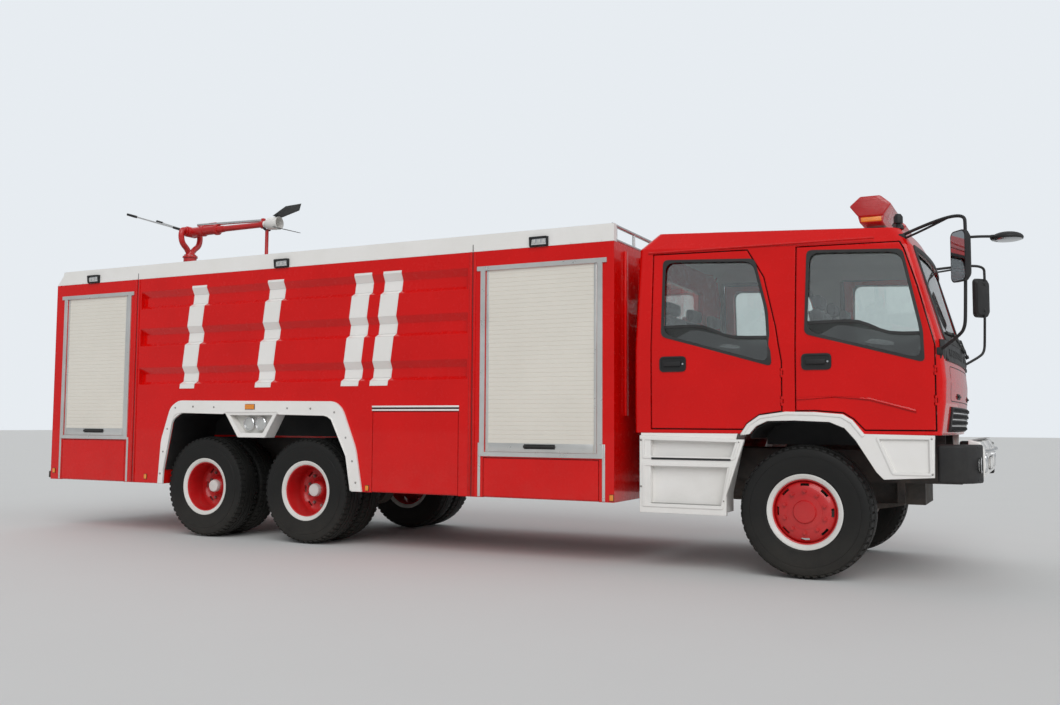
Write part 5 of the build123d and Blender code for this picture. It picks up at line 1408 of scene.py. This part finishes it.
# Seats: cloth pads swollen over their forms, on plain bases with belts

# A row has its rear end, the places of its seats across and how wide they are.
seat = {"front": (0.07, (0.62, 0.0, -0.62), 1.0), "rear": (-1.24, (0.66, 0.0, -0.66), 1.22),
    "voxel": 0.013,
    "cushion": ((0.02, 1.56), (0.49, 1.568), (0.498, 1.64), (0.468, 1.69), (0.13, 1.668), (0.024, 1.676)),
    "back": ((0.008, 1.7), (0.098, 1.705), (0.092, 1.79), (0.01, 2.195), (-0.03, 2.208), (-0.07, 2.192),
    (-0.064, 1.9)),
    "rest": ((-0.022, 2.214), (0.002, 2.216), (0.01, 2.298), (-0.01, 2.332), (-0.066, 2.328),
    (-0.078, 2.288), (-0.068, 2.214))}


def swell(outline, half, cap, still, s, push=4.0):
    # A pad's form is remeshed and blown up as cloth; each point moves no further than cap.
    bm = bmesh.new()
    addPrism(bm, outline, -half, half, 0.016, 0.02, segments=3)
    mesh = bpy.data.meshes.new("pad")
    bm.to_mesh(mesh)
    bm.free()
    pad = bpy.data.objects.new("pad", mesh)
    scene.collection.objects.link(pad)
    remesh = pad.modifiers.new("remesh", "REMESH")
    remesh.mode = "VOXEL"
    remesh.voxel_size = s["voxel"]
    solid = bpy.data.meshes.new_from_object(pad.evaluated_get(bpy.context.evaluated_depsgraph_get()))
    pad.modifiers.clear()
    pad.data = solid
    starts = [v.co.copy() for v in solid.vertices]
    ends = starts
    held = pad.vertex_groups.new(name="held")
    held.add([i for i, co in enumerate(starts) if still(co)], 1.0, "REPLACE")
    cloth = pad.modifiers.new("cloth", "CLOTH")
    cloth.settings.use_pressure = True
    cloth.settings.uniform_pressure_force = push
    cloth.settings.effector_weights.gravity = 0
    cloth.settings.vertex_group_mass = "held"
    cloth.point_cache.frame_start = 1
    cloth.point_cache.frame_end = 20
    for frameNumber in range(1, 21):
        scene.frame_set(frameNumber)
    blown = pad.evaluated_get(bpy.context.evaluated_depsgraph_get()).to_mesh()
    ends = [v.co.copy() for v in blown.vertices]
    part = bmesh.new()
    part.from_mesh(solid)
    for v, start, end in zip(part.verts, starts, ends):
        step = end - start
        v.co = start + step * min(1.0, cap / max(step.length, 1e-6))
    for _ in range(3):
        bmesh.ops.smooth_vert(part, verts=part.verts, factor=0.5, use_axis_x=True, use_axis_y=True,
            use_axis_z=True)
    bpy.data.objects.remove(pad)
    return part


def sewChannels(part, gapTo, width=0.014, depth=0.008):
    # Sinks narrow channels; gapTo gives how far a point lies from the nearest seam.
    part.normal_update()
    for v in part.verts:
        gap = gapTo(v.co)
        if gap is not None:
            v.co -= v.normal * depth * math.exp(-(gap / width) ** 2)


def cushionGap(co):
    if co.z <= 1.62:
        return None
    if abs(co.y) >= 0.16:
        return abs(abs(co.y) - 0.172)
    return min(abs(co.x - x) for x in (0.15, 0.27, 0.39))


def backGap(co):
    if co.x < -0.03 + (2.2 - co.z) * 0.12:
        return None
    if abs(co.y) >= 0.155:
        return abs(abs(co.y) - 0.168)
    return min(abs(co.z - z) for z in (1.8, 1.9, 2.0, 2.1))


cushionPad = swell(seat["cushion"], 0.246, 0.024, lambda co: co.z < 1.585, seat)
sewChannels(cushionPad, cushionGap)
backPad = swell(seat["back"], 0.236, 0.024, lambda co: co.x < -0.045, seat)
sewChannels(backPad, backGap)
restPad = swell(seat["rest"], 0.118, 0.014, lambda co: co.x < -0.07, seat)
bm = bmesh.new()
bases = bmesh.new()
for rear, places, wide in (seat["front"], seat["rear"]):
    for y in places:
        spot = Matrix.Translation(at(rear, y, 0)) @ Matrix.Diagonal((1, wide, 1, 1))
        for pad in (cushionPad, backPad, restPad):
            pour(bm, pad, [spot], 0, keep=True)
        half = 0.26 * wide
        addBox(bases, (rear + 0.06, rear + 0.435), (y - half + 0.06, y + half - 0.06), (1.3275, 1.54),
            0.01, 3, 0)
        addBox(bases, (rear + 0.005, rear + 0.5), (y - half + 0.012, y + half - 0.012), (1.538, 1.574),
            0.012, 3, 0)
        addPrism(bases, [(ahead(rear + x), z)
            for x, z in ((0.03, 1.6), (-0.01, 1.6), (-0.0855, 2.18), (-0.062, 2.185))], y - half + 0.03,
            y + half - 0.03, 0.006)
        for _, side in sides:
            addRod(bases, at(rear - 0.04, y + side * 0.07, 2.18), at(rear - 0.034, y + side * 0.07, 2.24),
                0.007, sides=12, material=1)
            rail = y + side * (half - 0.1)
            addBox(bases, (rear + 0.08, rear + 0.42), (rail - 0.012, rail + 0.012), (1.3272, 1.345),
                0.003, 2, 1)
        addPrism(bases, [(ahead(rear + x), z)
            for x, z in ((0.03, 1.64), (0.06, 1.64), (0.072, 1.78), (0.05, 1.785))], y + half - 0.03,
            y + half - 0.004, 0.005, material=2)
pads = makePiece(bm, "seatPads", ["seatCloth"], ["seats"], sharp=60)
makePiece(bases, "seatBases", ["trimGrey", "boltSteel", "redLens"], ["seats"])
for pad in (cushionPad, backPad, restPad):
    pad.free()
print("seats made")

# Dashboard: steering wheel, hood over plain dials, vents, switches, gear lever and pedals

dash = {"wheel": (0.58, 0.62, 1.93), "rim": 0.221, "dials": (0.56, 0.68),
    "vents": (-0.88, -0.25, 0.25, 0.93)}
bm = bmesh.new()
column = Vector((-0.5, 0, 0.866))      # the way that the steering column points
tilt = Matrix.Translation(at(*dash["wheel"])) @ column.to_track_quat("Z", "Y").to_matrix().to_4x4()
part = bmesh.new()
ring = [(dash["rim"] + 0.02 * math.cos(k * math.tau / 12), 0.013 + 0.019 * math.sin(k * math.tau / 12))
    for k in range(12)]
verts = [part.verts.new((r, 0, z)) for r, z in ring]
spinRound(part, verts, [(verts[k], verts[(k + 1) % 12]) for k in range(12)], 56, (0, 0, 1))
bmesh.ops.remove_doubles(part, verts=part.verts, dist=0.00002)
pour(bm, part, [tilt], 0)
part = bmesh.new()
addBlock(part, (-0.205, -0.0215, -0.003), (0.205, 0.0215, 0.0285), 0.006, 3)
addBlock(part, (-0.0215, -0.205, -0.003), (0.0215, 0.0, 0.0285), 0.006, 3)
pour(bm, part, [tilt], 0)
part = bmesh.new()
addLathe(part, ((-0.004, 0.0), (-0.004, 0.064), (0.026, 0.064), (0.036, 0.05), (0.042, 0.0)), (0, 0, 0),
    axis="Z", steps=36)
addLathe(part, ((-0.262, 0.0), (-0.262, 0.036), (-0.01, 0.036), (-0.01, 0.0)), (0, 0, 0), axis="Z",
    steps=28)
pour(bm, part, [tilt], 1)
addPrism(bm, along(((0.7285, 1.7305), (0.7, 1.8), (0.76, 1.836), (0.93, 1.82), (0.93, 1.775),
    (0.83, 1.7905))), 0.38, 0.86, 0.01, material=1, segments=3)
face = Vector((-0.925, 0, 0.38))      # way out of the dials
up = face.cross(Vector((0, 1, 0)))
for y in dash["dials"]:
    spot = Vector(at(0.7135, y, 1.768))
    for radius, push, material in ((0.052, 0.004, 2), (0.046, 0.0055, 3)):
        addRod(bm, spot - face * 0.006, spot + face * push, radius, sides=32, material=material)
    for number in range(9):
        angle = math.radians(-120 + 30 * number)
        out = (up * math.cos(angle) + Vector((0, 1, 0)) * math.sin(angle)).normalized()
        addRod(bm, spot + face * 0.0056 + out * 0.032, spot + face * 0.0056 + out * 0.041, 0.0012,
            sides=6, material=4)
for y in dash["vents"]:
    for number in range(5):
        z = 1.664 + 0.014 * number
        x = 0.703 + (z - 1.6) * 0.2307
        addBox(bm, (x - 0.004, x + 0.004), (y - 0.07, y + 0.07), (z - 0.0035, z + 0.0035), 0.001, 2, 2)
for number in range(6):
    y = -0.12 + 0.048 * number
    addBox(bm, (0.706, 0.72), (y - 0.018, y + 0.018), (1.615, 1.642), 0.003, 2, 2)
addBox(bm, (0.715, 0.733), (-0.095, 0.095), (1.7, 1.726), 0.003, 2, 2)
addBox(bm, (0.708, 0.716), (-0.82, -0.38), (1.62, 1.634), 0.002, 2, 2)
addPipe(bm, [at(0.52, 0.31, 1.327), at(0.54, 0.31, 1.56), at(0.5, 0.315, 1.74)], 0.009, 5)
addDome(bm, at(0.5, 0.315, 1.757), (0.024, 0.024, 0.03), material=2)
addLathe(bm, ((1.3272, 0.0), (1.3272, 0.075), (1.34, 0.07), (1.4, 0.03), (1.43, 0.014), (1.43, 0.0)),
    at(0.523, 0.31, 0), axis="Z", steps=28, material=2)
for y, wide in ((0.48, 0.028), (0.62, 0.036), (0.76, 0.028)):
    addBox(bm, (0.69, 0.704), (y - wide, y + wide), (1.4, 1.48), 0.004, 2, 2)
    addRod(bm, at(0.7, y, 1.44), at(0.765, y, 1.47), 0.008, sides=10, material=5)
makePiece(bm, "dashDress", ["glossBlack", "trimGrey", "blackPlastic", "glossBlack", "whitePaint",
    "boltSteel"])
print("dashboard dressed")

# Door seals on the cab's inside, black arch liners, cowl corners and the cab's small roof parts

seals = {"rear": ((-1.285, 1.185), (-1.29, 2.71), (-0.455, 2.695), (-0.311, 2.452), (-0.208, 2.03),
    (-0.159, 1.74), (-0.159, 1.333), (-0.343, 1.306), (-0.444, 1.236), (-0.48, 1.185)),
    "front": ((-0.058, 1.335), (-0.058, 2.69), (0.752, 2.68), (0.787, 2.615), (0.883, 2.313),
    (0.99, 1.91), (1.005, 1.85), (1.005, 1.185), (0.478, 1.185), (0.391, 1.275), (0.317, 1.32),
    (0.099, 1.338))}
bm = bmesh.new()
for outline in seals.values():
    for _, side in sides:
        spots = []
        for (x0, z0), (x1, z1) in zip(outline, outline[1:] + outline[:1]):
            parts = max(1, round(math.dist((x0, z0), (x1, z1)) / 0.12))
            for k in range(parts):
                x, z = x0 + (x1 - x0) * k / parts, z0 + (z1 - z0) * k / parts
                spots.append((Vector(at(x, side * (cabSide(x, z) - 0.0665), z)), Vector((0, -side, 0))))
        addStrip(bm, spots, 0.046, 0.004, closed=True, sink=0.0)
makePiece(bm, "doorSeals", ["rubberSeal"], sharp=60)


def addLiner(bm, outline, side, y0, y1, thick=0.004):
    # A bent sheet that follows an arch just inside it.
    outer = [Vector(at(x, 0, z)) for x, z in outline]
    inner = []
    for i, point in enumerate(outer):
        way = (outer[min(i + 1, len(outer) - 1)] - outer[max(i - 1, 0)]).normalized()
        inner.append(point + Vector((way.z, 0, -way.x)) * thick)
    part = bmesh.new()
    rows = [[part.verts.new((p.x, side * y, p.z)) for p in outer + inner[::-1]] for y in (y0, y1)]
    count = len(rows[0])
    for i in range(count):
        part.faces.new((rows[0][i], rows[0][(i + 1) % count], rows[1][(i + 1) % count], rows[1][i]))
    part.faces.new(rows[0][::-1])
    part.faces.new(rows[1])
    bmesh.ops.recalc_face_normals(part, faces=part.faces)
    pour(bm, part)


liners = {"front": ((-0.42, 1.118), (-0.42, 1.146), (-0.363, 1.211), (-0.275, 1.251), (-0.059, 1.26),
    (0.214, 1.245), (0.325, 1.199), (0.404, 1.108)),
    "frontWall": ((-0.42, 1.062), (-0.42, 1.158), (-0.363, 1.211), (-0.275, 1.251), (-0.059, 1.26),
    (0.214, 1.245), (0.325, 1.199), (0.36, 1.158), (0.36, 1.062)),
    "rearWall": ((-6.85, 1.08), (-6.794, 1.247), (-6.668, 1.324), (-4.727, 1.324), (-4.636, 1.253),
    (-4.55, 1.08)),
    "rear": ((-6.912, 0.702), (-6.794, 1.247), (-6.668, 1.324), (-4.727, 1.324), (-4.636, 1.253),
    (-4.448, 0.893), (-4.388, 0.556))}
for sideName, side in sides:
    bm = bmesh.new()
    addLiner(bm, liners["front"], side, 0.645, 1.196)
    addLiner(bm, liners["rear"], side, 0.48, 1.246)
    for name, y in (("frontWall", 0.6403), ("rearWall", 0.6003)):
        addPrism(bm, along(liners[name]), side * y, side * (y + 0.004))
    makePiece(bm, f"archLiner_{sideName}", ["blackPlastic"], sharp=60)

cabSkin = makeProbe("cab_shell")
bm = bmesh.new()
for _, side in sides:
    centre = Vector(at(0.93, side * 0.9, 0))
    spots = []
    for degrees in range(14, 85, 7):
        angle = math.radians(degrees)
        out = Vector((math.cos(angle), side * math.sin(angle), 0))
        hit, normal = cabSkin.ray_cast(centre + out * 1.2 + Vector((0, 0, 1.812)), -out)[:2]
        if hit:
            spots.append((hit, Vector((normal.x, normal.y, 0)).normalized()))
    addStrip(bm, spots, 0.15, 0.009, sink=0.012)
makePiece(bm, "cowlCorners", ["blackPlastic"], sharp=60)


def roofAt(x, y):
    return cabSkin.ray_cast(Vector(at(x, y, 4)), Vector((0, 0, -1)))[0].z


bm = bmesh.new()
z = roofAt(0.72, -0.9)
addLathe(bm, ((-0.004, 0.0), (-0.004, 0.045), (0.01, 0.042), (0.016, 0.02), (0.04, 0.018), (0.044, 0.036),
    (0.095, 0.036), (0.118, 0.022), (0.124, 0.0)), at(0.72, -0.9, z), axis="Z", steps=32)
z = roofAt(0.6, 0.93)
addLathe(bm, ((-0.004, 0.0), (-0.004, 0.03), (0.012, 0.026), (0.02, 0.01), (0.02, 0.0)), at(0.6, 0.93, z),
    axis="Z", steps=24)
addRod(bm, at(0.6, 0.93, z + 0.015), at(0.48, 0.95, z + 0.3), 0.0035, 0.002, sides=8)
for _, side in sides:
    spots = [(Vector(at(x, side * (cabSide(x, 2.722) + 0.0005), 2.722 - 0.004 * (x + 1.3))),
        Vector((0, side, 0.1)).normalized()) for x in (-1.33, -1.0, -0.6, -0.2, 0.2, 0.56)]
    addStrip(bm, spots, 0.014, 0.012, material=2)
makePiece(bm, "cabRoofParts", ["blackPlastic", "boltSteel", "redPaint"])
print("cab details made")

# Roof deck: bolted tread plate in three panels, two grip rails and the hatches

deck = {"panels": ((-8.682, -7.414), (-7.406, -3.034), (-3.026, -1.66)), "half": 1.182, "z": 2.8365,
    "hatches": (-5.7, -4.0), "bolts": 0.3}
bm = bmesh.new()
for x0, x1 in deck["panels"]:
    addBox(bm, (x0, x1), (-deck["half"], deck["half"]), (deck["z"], deck["z"] + 0.0022), 0.0006, 1, 0)
    for _, side in sides:
        count = max(2, round((x1 - x0) / deck["bolts"]))
        for number in range(count + 1):
            x = x0 + 0.03 + (x1 - x0 - 0.06) * number / count
            addDome(bm, at(x, side * 1.16, deck["z"] + 0.0022), (0.009, 0.009, 0.004), material=1,
                rings=6, around=10)
for y in (-0.56, 0.56):
    addBox(bm, (-7.2, -3.3), (y - 0.018, y + 0.018), (deck["z"] + 0.0022, deck["z"] + 0.026), 0.006, 2, 2)
makePiece(bm, "roofDeck", ["treadPlate", "boltSteel", "paleMetal"])

bm = bmesh.new()
for place in deck["hatches"]:
    x = ahead(place)
    addLathe(bm, ((deckZ, 0.262), (deckZ, 0.3), (2.846, 0.3), (2.848, 0.276), (2.87, 0.274),
        (2.872, 0.262)), (x, 0, 0), axis="Z", steps=56)
    addLathe(bm, ((2.87, 0.0), (2.87, 0.268), (2.888, 0.268), (2.898, 0.255), (2.906, 0.23),
        (2.913, 0.12), (2.918, 0.0)), (x, 0, 0), axis="Z", steps=56)
    for number in range(6):
        angle = (number + 0.5) * math.tau / 6
        out = Vector((math.cos(angle), math.sin(angle), 0))
        spot = Vector((x, 0, 2.85)) + out * 0.285
        addRod(bm, spot, spot + Vector((0, 0, 0.046)), 0.007, sides=10, material=1)
        wing = out.cross(Vector((0, 0, 1))) * 0.024
        top = spot + Vector((0, 0, 0.044))
        addRod(bm, top - wing, top + wing, 0.006, sides=10, material=1)
    addPipe(bm, [(x - 0.07, 0, 2.912), (x - 0.066, 0, 2.95), (x, 0, 2.956), (x + 0.066, 0, 2.95),
        (x + 0.07, 0, 2.912)], 0.009, 1)
makePiece(bm, "hatches", ["paleMetal", "boltSteel"])
print("roof made")

# Ribs on the body's front wall, and pale posts beside the lockers

bm = bmesh.new()
for y in (-1.0, -0.6, -0.2, 0.2, 0.6, 1.0):
    addBox(bm, (-1.6027, -1.577), (y - 0.022, y + 0.022), (1.3, 2.776), 0.004)
for _, side in sides:
    for x in (-2.945, -1.7, -8.6, -7.5):
        addBox(bm, (x - 0.014, x + 0.014), (bodyFace, 1.256), (0.556, 1.05), 0.002, 2, 1, side=side)
makePiece(bm, "bodyPosts", ["redPaint", "paleMetal"])
print("body posts made")

# Parapet: joints between its panels and a row of rivets

bm = bmesh.new()
for _, side in sides:
    for x in (-7.41, -3.03):
        addBox(bm, (x - 0.004, x + 0.004), (bodyFace, 1.2513), (2.84, 2.905), side=side)
    for number in range(24):
        x = -8.62 + 0.3 * number
        addDome(bm, at(x, side * 1.25, 2.848), (0.006, 0.003, 0.006), material=1, rings=6, around=10)
makePiece(bm, "parapetDress", ["rubberSeal", "whitePaint"])
print("parapet dressed")

# Rear face: shutter slats in their frame, beam, handle, reflectors and a plain plate with its lamp

rear = ahead(-8.75)
near = 0.0003
# Each block: how far behind the rear wall it ends and starts, its sides, foot and top, bevel, finish
rearBlocks = {"middle": ((0.008, near, -0.57, 0.57, 1.1215, 1.205, 0.002, 0),
    (0.0125, near, -0.64, 0.64, 2.5585, 2.602, 0.002, 0),
    (0.0125, near, -0.625, 0.625, 1.082, 1.121, 0.002, 0),
    (0.058, 0.048, -1.23, 1.23, 0.565, 0.638, 0.003, 8),
    (0.05, near, -1.23, 1.23, 0.565, 0.573, 0.002, 8), (0.05, near, -1.23, 1.23, 0.63, 0.638, 0.002, 8),
    (0.011, 0.007, -0.155, 0.155, 1.143, 1.187, 0.002, 1),
    (0.004, near, -0.235, 0.235, 0.92, 1.04, 0.001, 4),
    (0.0055, 0.003, -0.222, 0.222, 0.93, 1.03, 0.001, 5)),
    "sides": ((0.012, near, 0.574, 0.625, 1.082, 2.602, 0.002, 0),
    (0.048, near, 0.9, 0.96, 0.5655, 0.6375, 0.002, 8),
    (0.025, 0.0075, 0.13, 0.158, 1.153, 1.177, 0.004, 1),
    (0.006, near, 1.045, 1.195, 0.8, 0.845, 0.002, 2), (0.004, near, 1.105, 1.195, 2.66, 2.7, 0.002, 2))}


def addRearBlock(bm, far, close, y0, y1, z0, z1, bevel, material, side=1):
    addBlock(bm, (rear - far, side * y0, z0), (rear - close, side * y1, z1), bevel, 2, material)


bm = bmesh.new()
slats = 36
for number in range(slats):
    z = 1.206 + (2.5585 - 1.206) * number / slats
    addRearBlock(bm, 0.006, near, -0.574, 0.574, z + 0.0004, z + 0.037, 0.003, 7)
for row in rearBlocks["middle"]:
    addRearBlock(bm, *row)
for _, side in sides:
    for row in rearBlocks["sides"]:
        addRearBlock(bm, *row, side)
    for z in (1.3, 1.7, 2.1, 2.5):
        addDome(bm, (rear - near, side * 0.66, z), (0.003, 0.008, 0.008), material=3, rings=6, around=10)
addRod(bm, (rear - 0.023, -0.148, 1.165), (rear - 0.023, 0.148, 1.165), 0.0085, sides=12, material=1)
addBlock(bm, (rear - 0.028, -0.05, 1.046), (rear - near, 0.05, 1.072), 0.005, 3, 1)
addBox(bm, (-8.807, -8.752), (-1.215, 1.215), (0.6382, 0.641), 0.0006, 1, 6)
makePiece(bm, "rearDress", ["paleMetal", "blackPlastic", "redLens", "boltSteel", "blackPlastic",
    "whitePaint", "treadPlate", "slatPaint", "chassisPaint"])
print("rear made")

# Undercarriage: brake chambers on the rear axles, tank straps, filler cap and drain taps

chamber = ((-0.075, 0.0), (-0.075, 0.06), (-0.06, 0.08), (-0.006, 0.083), (-0.006, 0.092), (0.006, 0.092),
    (0.006, 0.083), (0.055, 0.078), (0.07, 0.055), (0.07, 0.0))
bm = bmesh.new()
for place in (middleAxle, rearAxle):
    for _, side in sides:
        x = ahead(place - 0.29)
        addLathe(bm, chamber, (x, side * 0.3, 0.64), axis="X", steps=36)
        addRod(bm, (x + 0.066, side * 0.3, 0.64), (x + 0.15, side * 0.3, 0.64), 0.012, sides=12,
            material=1)
        addBlock(bm, (x + 0.06, side * 0.3 - 0.05, 0.56), (x + 0.082, side * 0.3 + 0.05, 0.7), 0.004)
for x in (-1.23, -0.84):
    addBox(bm, (x - 0.022, x + 0.022), (0.8702, 0.8742), (0.684, 1.0862), 0.0015, 2, 2)
    for z in (1.0852, 0.6818):
        addBox(bm, (x - 0.022, x + 0.022), (0.432, 0.873), (z, z + 0.003), 0.001, 1, 2)
addLathe(bm, ((1.0852, 0.0), (1.0852, 0.04), (1.095, 0.044), (1.113, 0.044), (1.118, 0.038),
    (1.118, 0.0)), at(-1.03, 0.76, 0), axis="Z", steps=32, material=3)
for x in (-1.2, -0.87):
    addRod(bm, at(x, -0.57, 0.764), at(x, -0.57, 0.742), 0.009, sides=12, material=1)
makePiece(bm, "underDress", ["chassisPaint", "boltSteel", "rubberSeal", "blackPlastic"])
print("undercarriage dressed")
